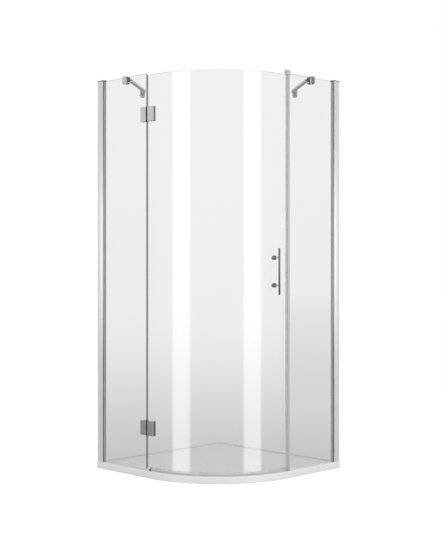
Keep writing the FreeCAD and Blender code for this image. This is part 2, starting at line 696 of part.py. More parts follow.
def hinge_plate(z, sign):
    """Outer clamp plate of a leaf, rounded beside the knuckle, with blind bolt holes."""
    u0, u1 = leaf_span(sign)
    low, high = z - HINGE_HEIGHT / 2, z + HINGE_HEIGHT / 2
    outer = HINGE_V - KNUCKLE_RADIUS
    inner = HINGE_V + KNUCKLE_RADIUS
    plate = block(u0, u1, outer, inner, low, high)
    near, far = (u1, u0) if sign < 0 else (u0, u1)
    for u, radius in ((near, HINGE_EDGE), (far, HINGE_RIM)):
        plate = rounded(plate, radius, lambda b: upright(b) and same(b.XMin, u) and same(b.YMin, outer))
    holes = []
    for place in hinge_bolt_places(z, sign):
        start = V(place.x, inner, place.z)
        holes.append(rod(CLAMP_BOLT_RADIUS + HOLE_CLEAR, start, V(0, -1, 0), CLAMP_BOLT_GRIP + HOLE_CLEAR))
    return plate.cut(holes)


def block_levels(z):
    """Lower ends of the two pivot blocks of one hinge."""
    return [z - HINGE_HEIGHT / 2, z + HINGE_HEIGHT / 2 - HINGE_BLOCK_HEIGHT]


def tenon(z0, z1, sign, spare):
    """T-shaped tongue that locks a nylon barrel into the plate of one leaf."""
    root = KNUCKLE_RADIUS + HINGE_ROOM
    shoulder = root + TENON_NECK_LENGTH
    tip = shoulder + TENON_HEAD_LENGTH + spare
    pieces = []
    for near, far, width in ((0, shoulder, TENON_NECK), (shoulder - spare, tip, TENON_HEAD)):
        u0, u1 = sorted((HINGE_U + sign * near, HINGE_U + sign * far))
        half = width / 2 + spare
        pieces.append(block(u0, u1, HINGE_V - half, HINGE_V + half, z0, z1))
    return pieces[0].fuse(pieces[1]).removeSplitter()


def fixed_hinge_plate(z):
    """Fixed outer plate with the two slots that hold the pivot blocks."""
    slots = [tenon(z0, z0 + HINGE_BLOCK_HEIGHT, -1, TENON_CLEAR) for z0 in block_levels(z)]
    return hinge_plate(z, -1).cut(slots)


def pivot_blocks(z):
    """Nylon blocks that carry the ends of the hinge pin."""
    blocks = []
    for z0 in block_levels(z):
        barrel = rod(KNUCKLE_RADIUS, V(HINGE_U, HINGE_V, z0), UP, HINGE_BLOCK_HEIGHT)
        body = barrel.fuse(tenon(z0, z0 + HINGE_BLOCK_HEIGHT, -1, 0)).removeSplitter()
        hole = rod(HINGE_PIN_RADIUS + HINGE_RUN, V(HINGE_U, HINGE_V, z0), UP, HINGE_BLOCK_HEIGHT)
        blocks.append(body.cut(hole))
    return Part.makeCompound(blocks)


def knuckle_span(z):
    """Lower and upper end of the door knuckle, between the bush flanges."""
    reach = HINGE_HEIGHT / 2 - HINGE_BLOCK_HEIGHT - HINGE_END_PLAY - HINGE_BUSH_FLANGE
    return z - reach, z + reach


def door_hinge_plate(z):
    """Door outer plate with the slot that holds the middle knuckle."""
    low, high = knuckle_span(z)
    return hinge_plate(z, 1).cut(tenon(low, high, 1, TENON_CLEAR))


def hinge_knuckle(z):
    """Nylon barrel moulded into the door plate, with the bore for both bushes."""
    low, high = knuckle_span(z)
    foot = V(HINGE_U, HINGE_V, low)
    barrel = rod(KNUCKLE_RADIUS, foot, UP, high - low)
    body = barrel.fuse(tenon(low, high, 1, 0)).removeSplitter()
    return body.cut(rod(HINGE_PIN_RADIUS + HINGE_RUN + HINGE_BUSH_WALL, foot, UP, high - low))


def hinge_bushes(z):
    """Flanged bushes in both ends of the door knuckle, which turn on the pin."""
    low, high = knuckle_span(z)
    bushes = []
    for end, way in ((low, 1), (high, -1)):
        along = UP * way
        start = V(HINGE_U, HINGE_V, end)
        sleeve = rod(HINGE_PIN_RADIUS + HINGE_RUN + HINGE_BUSH_WALL, start, along, HINGE_BUSH_LENGTH)
        flange = rod(KNUCKLE_RADIUS, start, along * -1, HINGE_BUSH_FLANGE)
        bush = sleeve.fuse(flange).removeSplitter()
        foot = start - along * HINGE_BUSH_FLANGE
        hole = rod(HINGE_PIN_RADIUS + HINGE_RUN, foot, along, HINGE_BUSH_LENGTH + HINGE_BUSH_FLANGE)
        bushes.append(bush.cut(hole))
    return bushes


def hinge_pin(z):
    """Plain pin through blocks, bushes and knuckle."""
    low = V(HINGE_U, HINGE_V, z - HINGE_HEIGHT / 2)
    pin = rod(HINGE_PIN_RADIUS, low, UP, HINGE_HEIGHT)
    return bevelled(pin, HINGE_PIN_EDGE, lambda b: b.ZLength < SAME)


def hinge_back_plate(z, sign):
    """Inner clamp plate of a leaf with countersunk bolt holes."""
    u0, u1 = leaf_span(sign)
    face = HINGE_BACK + HINGE_BACK_PLATE
    plate = block(u0, u1, HINGE_BACK, face, z - HINGE_HEIGHT / 2, z + HINGE_HEIGHT / 2)
    plate = bevelled(plate, HINGE_RIM, lambda b: same(b.YMin, face))
    return plate.cut([hinge_bolt(p, HOLE_CLEAR) for p in hinge_bolt_places(z, sign)])


def hinge_bolt(place, spare):
    """Countersunk bolt from the back plate into the outer plate, fatter by a spare for its hole."""
    face = HINGE_BACK + HINGE_BACK_PLATE
    tip = HINGE_V + KNUCKLE_RADIUS - CLAMP_BOLT_GRIP
    shank = rod(CLAMP_BOLT_RADIUS + spare, V(place.x, tip, place.z), V(0, 1, 0), face - tip)
    head = Part.makeCone(
        CLAMP_BOLT_RADIUS + spare,
        CLAMP_BOLT_HEAD_RADIUS + spare,
        CLAMP_BOLT_HEAD,
        V(place.x, face - CLAMP_BOLT_HEAD, place.z),
        V(0, 1, 0),
    )
    return shank.fuse(head).removeSplitter()


def hinge_bolts(z, sign):
    """Clamp bolts of one leaf."""
    return [hinge_bolt(place, 0) for place in hinge_bolt_places(z, sign)]


def hinge_gaskets(z, sign, glass):
    """Pads that fill the space between the clamp plates and the glass of one leaf."""
    u0, u1 = leaf_span(sign)
    inset = HINGE_GASKET_INSET
    end = PANEL_END_LEFT if sign < 0 else DOOR_START
    near, far = (u0 + inset, min(u1, end) - inset) if sign < 0 else (max(u0, end) + inset, u1 - inset)
    low, high = z - HINGE_HEIGHT / 2 + inset, z + HINGE_HEIGHT / 2 - inset
    filling = block(near, far, HINGE_V + KNUCKLE_RADIUS, HINGE_BACK, low, high)
    return filling.cut([glass] + glass_holes(z, sign)).Solids


def glass_holes(z, sign):
    """Holes through the glass for the clamp bolts of one leaf."""
    start = HINGE_V + KNUCKLE_RADIUS
    reach = HINGE_BACK - start
    places = hinge_bolt_places(z, sign)
    return [rod(GLASS_HOLE_RADIUS, V(p.x, start, p.z), V(0, 1, 0), reach) for p in places]


def door_glass():
    """Curved door glass with ground edges."""
    glass = door_band(V_OUT, V_IN, DOOR_START, DOOR_END, DOOR_FOOT, DOOR_TOP)
    return bevelled(glass, GLASS_ARRIS, lambda b: not at_seam(b))


def door_edge_gaps():
    """Height spans of the hinge edge that the hinges leave free for the seal."""
    room = HINGE_HEIGHT / 2 + SEAL_CLEAR
    low, high = HINGE_LEVELS["lower"], HINGE_LEVELS["upper"]
    return [(SWEEP_TOP + SEAL_CLEAR, low - room), (low + room, high - room), (high + room, DOOR_TOP)]


def door_hinge_seal():
    """Clip-on seal lengths with a soft bulb towards the fixed glass."""
    lengths = []
    base = DOOR_START - SEAL_WALL
    bulb = (base - PANEL_END_LEFT - SEAL_CLEAR) / 2
    for z0, z1 in door_edge_gaps():
        end = DOOR_START + HINGE_SEAL_CLIP
        clip = block(base, end, V_OUT - SEAL_WALL, V_IN + SEAL_WALL, z0, z1)
        clip = clip.cut(block(DOOR_START, end, V_OUT, V_IN, z0, z1))
        tube = rod(bulb, V(base - bulb, V_MID, z0), UP, z1 - z0)
        web = block(base - bulb, base, V_MID - SEAL_WALL / 2, V_MID + SEAL_WALL / 2, z0, z1)
        lengths.append(clip.fuse([tube, web]).removeSplitter())
    return Part.makeCompound(lengths)


def door_close_seal():
    """Magnet seal clipped on the closing edge of the door."""
    z0, z1 = SWEEP_TOP + SEAL_CLEAR, DOOR_TOP
    nose = DOOR_END - SEAL_NOSE
    clip = door_band(V_OUT - SEAL_WALL, V_IN + SEAL_WALL, DOOR_START, nose, z0, z1)
    clip = clip.common(closing_block(nose, DOOR_END + SEAL_CLIP, 0, FRONT_RADIUS, z0, z1))
    glass = door_band(V_OUT, V_IN, DOOR_START, DOOR_END, z0, z1)
    return clip.cut([glass, magnet_pocket(nose + SEAL_WALL, z0, z1, MAGNET_CLEAR)])


def magnet_pocket(u0, z0, z1, spare):
    """Flat magnet strip, or its pocket when a spare is given."""
    half = MAGNET_WIDTH / 2 + spare
    return closing_block(u0 - spare, u0 + MAGNET_THICK + spare, V_MID - half, V_MID + half, z0, z1)


def door_magnet():
    """Magnet strip in the door seal."""
    return magnet_pocket(DOOR_END - SEAL_NOSE + SEAL_WALL, SWEEP_TOP + SEAL_CLEAR, DOOR_TOP, 0)


def strike_face():
    """Closing face of the strike profile, from the wall."""
    return DOOR_END - SEAL_NOSE - CLOSE_CLEAR


def strike_profile():
    """Edge profile on the fixed glass with a magnet chamber and a stop lip for the door."""
    z0, z1 = PANEL_FOOT, PANEL_TOP
    face = strike_face()
    start = PANEL_END_RIGHT - STRIKE_CLIP
    low = V_OUT - STRIKE_WALL
    body = closing_block(start, face, low, STOP_FACE, z0, z1)
    lip = closing_block(start, face + STRIKE_STOP_LAP, STOP_FACE, STOP_BACK, z0, z1)
    body = body.fuse(lip).removeSplitter()
    glass = closing_block(start, PANEL_END_RIGHT, V_OUT, V_IN, z0, z1)
    return body.cut([glass, magnet_pocket(face - MAGNET_THICK - MAGNET_CLEAR, z0, z1, MAGNET_CLEAR)])


def strike_foot():
    """Shoe on the tray that the strike profile and the corner of the fixed glass stand on."""
    start = PANEL_END_RIGHT - STRIKE_CLIP - STRIKE_FOOT_LAP
    low = V_OUT - STRIKE_WALL - STRIKE_FOOT_LAP
    return closing_block(start, strike_face(), low, STOP_BACK, TRAY_HEIGHT, PANEL_FOOT)


def strike_magnet():
    """Magnet strip in the strike profile."""
    u0 = strike_face() - MAGNET_THICK - MAGNET_CLEAR
    return magnet_pocket(u0, PANEL_FOOT, DOOR_TOP, 0)


def strike_cap(profile, glass, magnet):
    """Block over the upper end of the strike profile."""
    lap = STRIKE_CAP_LAP
    u0, u1 = PANEL_END_RIGHT - STRIKE_CLIP - lap, strike_face() + STRIKE_STOP_LAP + lap
    v0 = V_OUT - STRIKE_WALL - lap
    v1 = STOP_BACK + lap
    top = PANEL_TOP + STRIKE_CAP_RISE
    cap = closing_block(u0, u1, v0, v1, DOOR_TOP + STRIKE_CAP_CLEAR, top)
    cap = rounded(cap, STRIKE_CAP_EDGE, upright)
    cap = bevelled(cap, STRIKE_CAP_BEVEL, level(top))
    return cap.cut([profile, glass, magnet])


def door_sweep():
    """Seal under the door: a clip on the glass and a fin that almost meets the tray."""
    wall = SEAL_WALL
    base = DOOR_FOOT - SWEEP_BASE
    clip = door_band(V_OUT - wall, V_IN + wall, DOOR_START, DOOR_END, base, SWEEP_TOP)
    clip = clip.cut(door_band(V_OUT, V_IN, DOOR_START, DOOR_END, DOOR_FOOT, SWEEP_TOP))
    fin_low = TRAY_HEIGHT + SWEEP_CLEAR
    half = SWEEP_FIN / 2
    fin = door_band(V_MID - half, V_MID + half, DOOR_START, DOOR_END, fin_low, base)
    return clip.fuse(fin).removeSplitter()


def threshold_strip():
    """Low water bar on the tray behind the closed door."""
    far = THRESHOLD_NEAR + THRESHOLD_WIDTH
    top = TRAY_HEIGHT + THRESHOLD_HEIGHT
    strip = door_band(THRESHOLD_NEAR, far, PANEL_END_LEFT, PANEL_END_RIGHT, TRAY_HEIGHT, top)

    def long_edge(box):
        start, end = PANEL_END_LEFT + SAME, SIDE - PANEL_END_RIGHT - SAME
        return level(top)(box) and box.XMax > start and box.YMin < end

    return bevelled(strip, THRESHOLD_EDGE, long_edge)


def on_door(shape):
    """Turns a piece drawn about the curve's axis to the handle's place on the door."""
    turned = shape.copy()
    turned.rotate(V(0, 0, 0), UP, -HANDLE_ANGLE)
    return turned.translated(V(U_ARC, FRONT_RADIUS, 0))


def post_levels():
    """Heights of the two handle posts."""
    return [HANDLE_HEIGHT - HANDLE_CENTRES / 2, HANDLE_HEIGHT + HANDLE_CENTRES / 2]


def handle_bar():
    """Upright round bar with rounded ends and a blind hole for each post."""
    axis = ARC_OUT + HANDLE_STANDOFF
    low = V(axis, 0, HANDLE_HEIGHT - HANDLE_LENGTH / 2)
    bar = rod(HANDLE_BAR_RADIUS, low, UP, HANDLE_LENGTH)
    bar = bevelled(bar, HANDLE_BAR_EDGE, lambda b: b.ZLength < SAME)
    start = axis - HANDLE_BAR_RADIUS
    depth = HANDLE_SPIGOT_LENGTH + HOLE_CLEAR
    radius = HANDLE_SPIGOT_RADIUS + HOLE_CLEAR
    return on_door(bar.cut([rod(radius, V(start, 0, z), V(1, 0, 0), depth) for z in post_levels()]))


def handle_posts():
    """Flared posts between the glass and the bar."""
    base = ARC_OUT + HANDLE_WASHER
    axis = ARC_OUT + HANDLE_STANDOFF
    tip = axis - HANDLE_BAR_RADIUS + HANDLE_SPIGOT_LENGTH
    posts = []
    for z in post_levels():
        flare = base + HANDLE_POST_FLARE
        foot = base + HANDLE_POST_FOOT
        edges = [
            line(V(base, 0, 0), V(base, HANDLE_POST_BASE, 0)),
            line(V(base, HANDLE_POST_BASE, 0), V(foot, HANDLE_POST_BASE, 0)),
            line(V(foot, HANDLE_POST_BASE, 0), V(flare, HANDLE_POST_NECK, 0)),
            line(V(flare, HANDLE_POST_NECK, 0), V(axis, HANDLE_POST_NECK, 0)),
            line(V(axis, HANDLE_POST_NECK, 0), V(axis, 0, 0)),
            line(V(axis, 0, 0), V(base, 0, 0)),
        ]
        post = Part.Face(Part.Wire(edges)).revolve(V(0, 0, 0), V(1, 0, 0), 360)
        post.translate(UP * z)
        post = post.cut(rod(HANDLE_BAR_RADIUS, V(axis, 0, z - HANDLE_POST_BASE), UP, 2 * HANDLE_POST_BASE))
        start = axis - HANDLE_BAR_RADIUS - HANDLE_SPIGOT_LENGTH
        spigot = rod(HANDLE_SPIGOT_RADIUS, V(start, 0, z), V(1, 0, 0), tip - start)
        depth = HANDLE_STUD_GRIP + HOLE_CLEAR
        stud = rod(HANDLE_STUD_RADIUS + HOLE_CLEAR, V(base, 0, z), V(1, 0, 0), depth)
        posts.append(on_door(post.fuse(spigot).removeSplitter().cut(stud)))
    return Part.makeCompound(posts)


def handle_caps():
    """Domed nuts on the shower side, each with the stud that holds a post."""
    seat = ARC_IN - HANDLE_WASHER
    caps = []
    for z in post_levels():
        dome = rod(HANDLE_CAP_RADIUS, V(seat, 0, z), V(-1, 0, 0), HANDLE_CAP_HEIGHT)
        front = seat - HANDLE_CAP_HEIGHT
        dome = bevelled(dome, HANDLE_CAP_EDGE, lambda b: same(b.XMax, front))
        length = ARC_OUT + HANDLE_WASHER + HANDLE_STUD_GRIP - seat
        stud = rod(HANDLE_STUD_RADIUS, V(seat, 0, z), V(1, 0, 0), length)
        caps.append(on_door(dome.fuse(stud).removeSplitter()))
    return Part.makeCompound(caps)


def handle_holes():
    """Holes in the door glass for the handle studs."""
    start = ARC_IN - HANDLE_WASHER
    length = GLASS + 2 * HANDLE_WASHER
    return [on_door(rod(GLASS_HOLE_RADIUS, V(start, 0, z), V(1, 0, 0), length)) for z in post_levels()]


def handle_washers(glass):
    """Soft washers on both faces of the glass, which take up its curve."""
    start = ARC_IN - HANDLE_WASHER
    length = GLASS + 2 * HANDLE_WASHER
    rings = []
    for z in post_levels():
        ring = on_door(rod(HANDLE_POST_BASE, V(start, 0, z), V(1, 0, 0), length))
        rings.extend(ring.cut([glass] + handle_holes()).Solids)
    return Part.makeCompound(rings)


def hinge_nodes(glass_left, glass_door):
    """Every piece of both hinges, by node name."""
    nodes = {}
    names = ("fixed_gaskets", "door_gaskets", "fixed_bolts", "door_bolts", "bushes", "knuckles")
    groups = {name: [] for name in names}
    for name, z in HINGE_LEVELS.items():
        nodes[name + "_hinge_fixed_plate"] = fixed_hinge_plate(z)
        nodes[name + "_hinge_door_plate"] = door_hinge_plate(z)
        nodes[name + "_hinge_fixed_back"] = hinge_back_plate(z, -1)
        nodes[name + "_hinge_door_back"] = hinge_back_plate(z, 1)
        nodes[name + "_hinge_pin"] = hinge_pin(z)
        nodes[name + "_hinge_pivot_blocks"] = pivot_blocks(z)
        groups["fixed_gaskets"] += hinge_gaskets(z, -1, glass_left)
        groups["door_gaskets"] += hinge_gaskets(z, 1, glass_door)
        groups["fixed_bolts"] += hinge_bolts(z, -1)
        groups["door_bolts"] += hinge_bolts(z, 1)
        groups["bushes"] += hinge_bushes(z)
        groups["knuckles"].append(hinge_knuckle(z))
    for name, solids in groups.items():
        nodes["hinge_" + name] = Part.makeCompound(solids)
    return nodes


def side_nodes():
    """Pieces that both sides have, by node name."""
    nodes = {}
    seal_ends = {"left": PANEL_END_LEFT, "right": PANEL_END_RIGHT - STRIKE_CLIP}
    fixings, sets, grips, pins = [], [], [], []
    for side, place in (("left", left), ("right", right)):
        nodes["wall_channel_" + side] = place(wall_channel())
        nodes["glass_channel_" + side] = place(glass_channel())
        nodes["channel_cap_" + side] = place(channel_cap())
        nodes["glazing_gasket_" + side] = place(glazing_gaskets())
        nodes["panel_foot_seal_" + side] = place(foot_seal(seal_ends[side]))
        nodes["arm_clamp_" + side] = place(arm_clamp())
        nodes["arm_clamp_pad_" + side] = place(clamp_pad())
        nodes["arm_tube_" + side] = place(arm_tube())
        nodes["arm_ends_" + side] = place(arm_ends())
        nodes["arm_bracket_" + side] = place(arm_bracket())
        fixings += [place(screw) for screw in fixing_screws()]
        sets.append(place(set_screw()))
        grips += [place(screw) for screw in clamp_screws()]
        pins += [place(pin) for pin in pivot_pins()]
    nodes["channel_fixing_screws"] = Part.makeCompound(fixings)
    nodes["glass_set_screws"] = Part.makeCompound(sets)
    nodes["arm_clamp_screws"] = Part.makeCompound(grips)
    nodes["arm_pivot_pins"] = Part.makeCompound(pins)
    return nodes


def all_nodes():
    """Every node of the enclosure in its own place."""
    nodes = side_nodes()
    glass_left = fixed_panel(PANEL_END_LEFT)
    glass_door = door_glass()
    spare = HINGE_GASKET_CLEAR
    padded = door_band(V_OUT - spare, V_IN + spare, DOOR_START, DOOR_END, DOOR_FOOT, DOOR_TOP)
    drawn = hinge_nodes(glass_left, padded)
    bolt_holes = {-1: [], 1: []}
    for z in HINGE_LEVELS.values():
        for sign in bolt_holes:
            bolt_holes[sign] += glass_holes(z, sign)
    drawn["fixed_panel_left"] = glass_left.cut(bolt_holes[-1])
    drawn["door_panel"] = glass_door.cut(bolt_holes[1] + handle_holes())
    drawn["shower_tray"] = shower_tray()
    drawn["waste_cover"] = waste_cover()
    drawn["threshold_strip"] = threshold_strip()
    drawn["door_hinge_seal"] = door_hinge_seal()
    drawn["door_close_seal"] = door_close_seal()
    drawn["door_magnet"] = door_magnet()
    drawn["door_sweep"] = door_sweep()
    drawn["strike_profile"] = strike_profile()
    drawn["strike_magnet"] = strike_magnet()
    drawn["strike_foot"] = strike_foot()
    drawn["handle_bar"] = handle_bar()
    drawn["handle_posts"] = handle_posts()
    drawn["handle_caps"] = handle_caps()
    drawn["handle_washers"] = handle_washers(glass_door)
    for name, shape in drawn.items():
        nodes[name] = left(shape)
    nodes["fixed_panel_right"] = right(fixed_panel(PANEL_END_RIGHT))
    lid = strike_cap(drawn["strike_profile"], closing_glass(), drawn["strike_magnet"])
    nodes["strike_cap"] = left(lid)
    return nodes


def closing_glass():
    """Fixed glass at the closing edge without its ground edges, in side coordinates."""
    return closing_block(PANEL_START, PANEL_END_RIGHT, V_OUT, V_IN, PANEL_FOOT, PANEL_TOP)


os.makedirs("parts", exist_ok=True)
for node, shape in all_nodes().items():
    shape.exportStep("parts/" + node + ".step")
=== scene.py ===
"""Dresses a corner shower enclosure: a low tray, two fixed panels and a curved hinged door.

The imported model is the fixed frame, in metres with Z up. Curved and turned pieces are rebuilt here
with finer meshes in the same places. Every other piece keeps its solid and gets a finish.
"""

import json
import logging
import math
from dataclasses import dataclass
from enum import Enum
from functools import cached_property
from typing import Any, Iterable, Sequence, Union

import bmesh
import bpy
from mathutils import Matrix, Vector

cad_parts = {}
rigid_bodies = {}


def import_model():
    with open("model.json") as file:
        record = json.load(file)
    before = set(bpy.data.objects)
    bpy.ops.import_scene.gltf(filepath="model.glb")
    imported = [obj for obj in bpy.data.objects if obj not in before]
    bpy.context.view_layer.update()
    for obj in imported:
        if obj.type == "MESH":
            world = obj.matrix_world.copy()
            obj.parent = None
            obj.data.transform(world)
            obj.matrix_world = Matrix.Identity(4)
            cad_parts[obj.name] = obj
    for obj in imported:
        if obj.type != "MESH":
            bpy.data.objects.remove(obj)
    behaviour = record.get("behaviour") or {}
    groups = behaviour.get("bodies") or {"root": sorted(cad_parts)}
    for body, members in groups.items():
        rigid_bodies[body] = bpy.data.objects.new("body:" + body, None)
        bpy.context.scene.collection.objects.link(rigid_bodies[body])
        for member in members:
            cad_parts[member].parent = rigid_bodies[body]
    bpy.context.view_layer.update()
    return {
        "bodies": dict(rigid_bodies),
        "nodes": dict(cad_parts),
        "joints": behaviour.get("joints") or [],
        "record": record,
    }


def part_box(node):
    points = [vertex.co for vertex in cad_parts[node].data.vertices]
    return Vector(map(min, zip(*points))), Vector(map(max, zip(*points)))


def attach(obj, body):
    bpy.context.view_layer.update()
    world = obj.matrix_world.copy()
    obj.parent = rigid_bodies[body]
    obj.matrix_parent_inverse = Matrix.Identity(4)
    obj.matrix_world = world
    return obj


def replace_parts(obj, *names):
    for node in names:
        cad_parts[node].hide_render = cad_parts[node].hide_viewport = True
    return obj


LOG = logging.getLogger("enclosure")
MM = 0.001
FULL_TURN = 2 * math.pi
QUARTER_TURN = math.pi / 2
UP = Vector((0, 0, 1))
DIAGONAL = math.sqrt(0.5)  # Both parts of a level direction half-way between the walls.
EDGE_STEPS = 5  # Steps in the rounding of an edge.
TINY_STEPS = 4  # Steps in the rounding of a very small edge.
CROSS_ARM = 0.3  # Half the width of the arms of a cross recess, as a share of its radius.
NEAR_ZERO = 1e-6  # Smallest number that is divided by.

Shade = tuple[float, float, float]
Span = tuple[float, float]
Ring = list[Vector]
Frame = dict[str, Any]


class Wire:
    """A shader socket that takes part in Python arithmetic."""

    def __init__(self, graph: "Graph", socket: bpy.types.NodeSocket) -> None:
        """Keeps the socket with the graph that owns it."""
        self.graph = graph
        self.socket = socket

    def __add__(self, other: "Value") -> "Wire":
        """Adds a value or wire."""
        return self.graph.maths("ADD", self, other)

    def __radd__(self, other: float) -> "Wire":
        """Adds this wire to a number."""
        return self.graph.maths("ADD", other, self)

    def __sub__(self, other: "Value") -> "Wire":
        """Takes a value or wire away."""
        return self.graph.maths("SUBTRACT", self, other)

    def __rsub__(self, other: float) -> "Wire":
        """Takes this wire away from a number."""
        return self.graph.maths("SUBTRACT", other, self)

    def __mul__(self, other: "Value") -> "Wire":
        """Multiplies by a value or wire."""
        return self.graph.maths("MULTIPLY", self, other)

    def __rmul__(self, other: float) -> "Wire":
        """Multiplies a number by this wire."""
        return self.graph.maths("MULTIPLY", other, self)

    def __rpow__(self, other: float) -> "Wire":
        """Raises a number to this wire."""
        return self.graph.maths("POWER", other, self)

    def also(self, out: str | int) -> "Wire":
        """Gives another output of the same node."""
        return Wire(self.graph, self.socket.node.outputs[out])


Value = Union[Wire, float, Sequence[float]]


class Graph:
    """Builds the nodes of one shader tree."""

    def __init__(self, tree: bpy.types.NodeTree) -> None:
        """Keeps the tree."""
        self.tree = tree

    def node(
        self,
        kind: str,
        settings: dict[str, Any] | None = None,
        sockets: dict[str | int, Value] | None = None,
        out: str | int = 0,
    ) -> Wire:
        """Adds a node.

        Args:
            kind: Node type without its prefix.
            settings: Properties of the node, which are set first.
            sockets: Values or wires of the inputs, by name or number.
            out: Output to hand back, by name or number.

        Returns:
            The chosen output.
        """
        made = self.tree.nodes.new("ShaderNode" + kind)
        for name, setting in (settings or {}).items():
            setattr(made, name, setting)
        self.feed(made, sockets or {})
        return Wire(self, made.outputs[out])

    def feed(self, target: bpy.types.Node, sockets: dict[str | int, Value]) -> None:
        """Sets or links the inputs of a node.

        Args:
            target: Node that takes the inputs.
            sockets: Values or wires, by input name or number.
        """
        for key, value in sockets.items():
            if isinstance(value, Wire):
                self.tree.links.new(value.socket, target.inputs[key])
            else:
                target.inputs[key].default_value = value

    def close(self, kind: str, shader: Wire) -> None:
        """Adds an output node and links the finished shader to it."""
        self.feed(self.tree.nodes.new("ShaderNodeOutput" + kind), {"Surface": shader})

    def maths(self, operation: str, first: Value, second: Value) -> Wire:
        """Adds one Math node on two values."""
        return self.node("Math", {"operation": operation}, {0: first, 1: second})

    def blend(self, factor: Value, low: Value, high: Value) -> Wire:
        """Mixes two colours by a factor, where 0 gives the low one and 1 the high one."""
        return self.node("Mix", {"data_type": "RGBA"}, {0: factor, 6: low, 7: high}, 2)

    def mixed(self, factor: Value, low: Wire, high: Wire) -> Wire:
        """Mixes two shaders by a factor, where 0 gives the low one and 1 the high one."""
        return self.node("MixShader", {}, {0: factor, 1: low, 2: high})

    def spot(self) -> Wire:
        """Gives the position on the piece in metres."""
        return self.node("TexCoord", out="Object")

    def facing(self) -> Wire:
        """Gives the direction that the surface faces."""
        return self.node("NewGeometry", out="Normal")

    def part(self, vector: Wire, axis: str) -> Wire:
        """Gives a vector's part along one axis, X, Y or Z."""
        return self.node("SeparateXYZ", {}, {0: vector}, axis)

    def dot(self, vector: Wire, along: Sequence[float]) -> Wire:
        """Gives the length of a vector along a direction."""
        return self.node("VectorMath", {"operation": "DOT_PRODUCT"}, {0: vector, 1: along}, "Value")

    def noise(self, grain: "Grain") -> Wire:
        """Gives a noise from 0 to 1 with the cells and detail of a grain."""
        *cells, detail = grain.value
        place = self.node("Mapping", {}, {"Vector": self.spot(), "Scale": cells})
        return self.node("TexNoise", {}, {"Vector": place, "Scale": 1.0, "Detail": detail})

    def ramp(self, value: Wire, span: Span, low: float, high: float) -> Wire:
        """Maps a value so that its span gives results from low to high, with soft ends."""
        sockets = {"Value": value, 1: span[0], 2: span[1], 3: low, 4: high}
        return self.node("MapRange", {"interpolation_type": "SMOOTHSTEP"}, sockets)

    def bump(self, height: Wire, strength: float, depth: float) -> Wire:
        """Turns a height into a normal, with the depth in metres."""
        return self.node("Bump", {}, {"Height": height, "Strength": strength, "Distance": depth})


def grey(level: float, cool: float = 0.0) -> Shade:
    """Gives a grey, with so much more blue where it is cool."""
    return (level, level, level + cool)


def dimmed(shade: Shade, share: float) -> tuple[float, float, float, float]:
    """Scales a colour and adds a full alpha."""
    return (*(share * part for part in shade), 1.0)


def around(mean: float, share: float, pattern: Wire) -> Wire:
    """Varies a mean by a share of it either way, as a pattern goes from 0 to 1."""
    return mean * (1 - share + 2 * share * pattern)


class Grain(Enum):
    """Cells of a surface pattern per metre along X, Y and Z, and how many finer layers it has."""

    DRAWN_UP = (1400.0, 1400.0, 9.0, 2.0)
    POLISHED = (70.0, 70.0, 70.0, 2.0)
    TURNED = (260.0, 260.0, 2200.0, 2.0)
    MOULDED = (900.0, 900.0, 900.0, 3.0)
    METAL_CLOUDS = (11.0, 11.0, 7.0, 4.0)
    PLASTIC_CLOUDS = (6.0, 6.0, 6.0, 4.0)
    FILM_CLOUDS = (24.0, 24.0, 6.0, 3.0)
    GLASS_WAVES = (3.0, 3.0, 0.7, 1.0)
    GLASS_TINT = (5.0, 5.0, 2.0, 5.0)


@dataclass(frozen=True)
class Finish:
    """A surface finish that becomes a node material on its first use."""

    name: str  # Name of the material, which none of the record's slots has.
    shade: Shade  # Main colour, linear.
    roughness: float  # Mean roughness.
    slot: str  # Material slot of the record that this finish belongs with; it is not used.

    def material(self) -> bpy.types.Material:
        """Gives the material, made on its first use.

        Returns:
            The node material of this finish.
        """
        made = bpy.data.materials.get(self.name)
        if made is None:
            made = bpy.data.materials.new(self.name)
            made.use_nodes = True
            graph = Graph(made.node_tree)
            self.dress(graph, made.node_tree.nodes["Principled BSDF"])
        return made

    def tones(self, graph: Graph, factor: Wire, span: Span) -> Wire:
        """Blends between two tones, which are shares of the main colour."""
        return graph.blend(factor, dimmed(self.shade, span[0]), dimmed(self.shade, span[1]))

    def dress(self, graph: Graph, shader: bpy.types.Node) -> None:
        """Sets the shader of the finish, in each kind of finish."""
        raise NotImplementedError


@dataclass(frozen=True)
class Metal(Finish):
    """Bare, drawn or plated metal."""

    metallic: float = 1.0  # Share of the metal reflection.
    grain: Grain = Grain.POLISHED  # Direction and fineness of the working marks.
    streak: float = 0.2  # How far the marks change the roughness, as a share.
    relief: float = 0.004 * MM  # Depth of the marks in metres.
    bite: float = 0.5  # Strength of that relief.
    cloudy: float = 0.55  # Share of the soft clouds in the tone, beside the marks.
    span: Span = (0.92, 1.06)  # Darkest and lightest tone.

    def dress(self, graph: Graph, shader: bpy.types.Node) -> None:
        """Sets marks in roughness and relief, and soft clouds in the colour."""
        marks = graph.noise(self.grain)
        tone = self.cloudy * graph.noise(Grain.METAL_CLOUDS) + (1 - self.cloudy) * marks
        graph.feed(shader, {
            "Base Color": self.tones(graph, tone, self.span),
            "Metallic": self.metallic,
            "Roughness": around(self.roughness, self.streak, marks),
            "Normal": graph.bump(marks, self.bite, self.relief),
        })


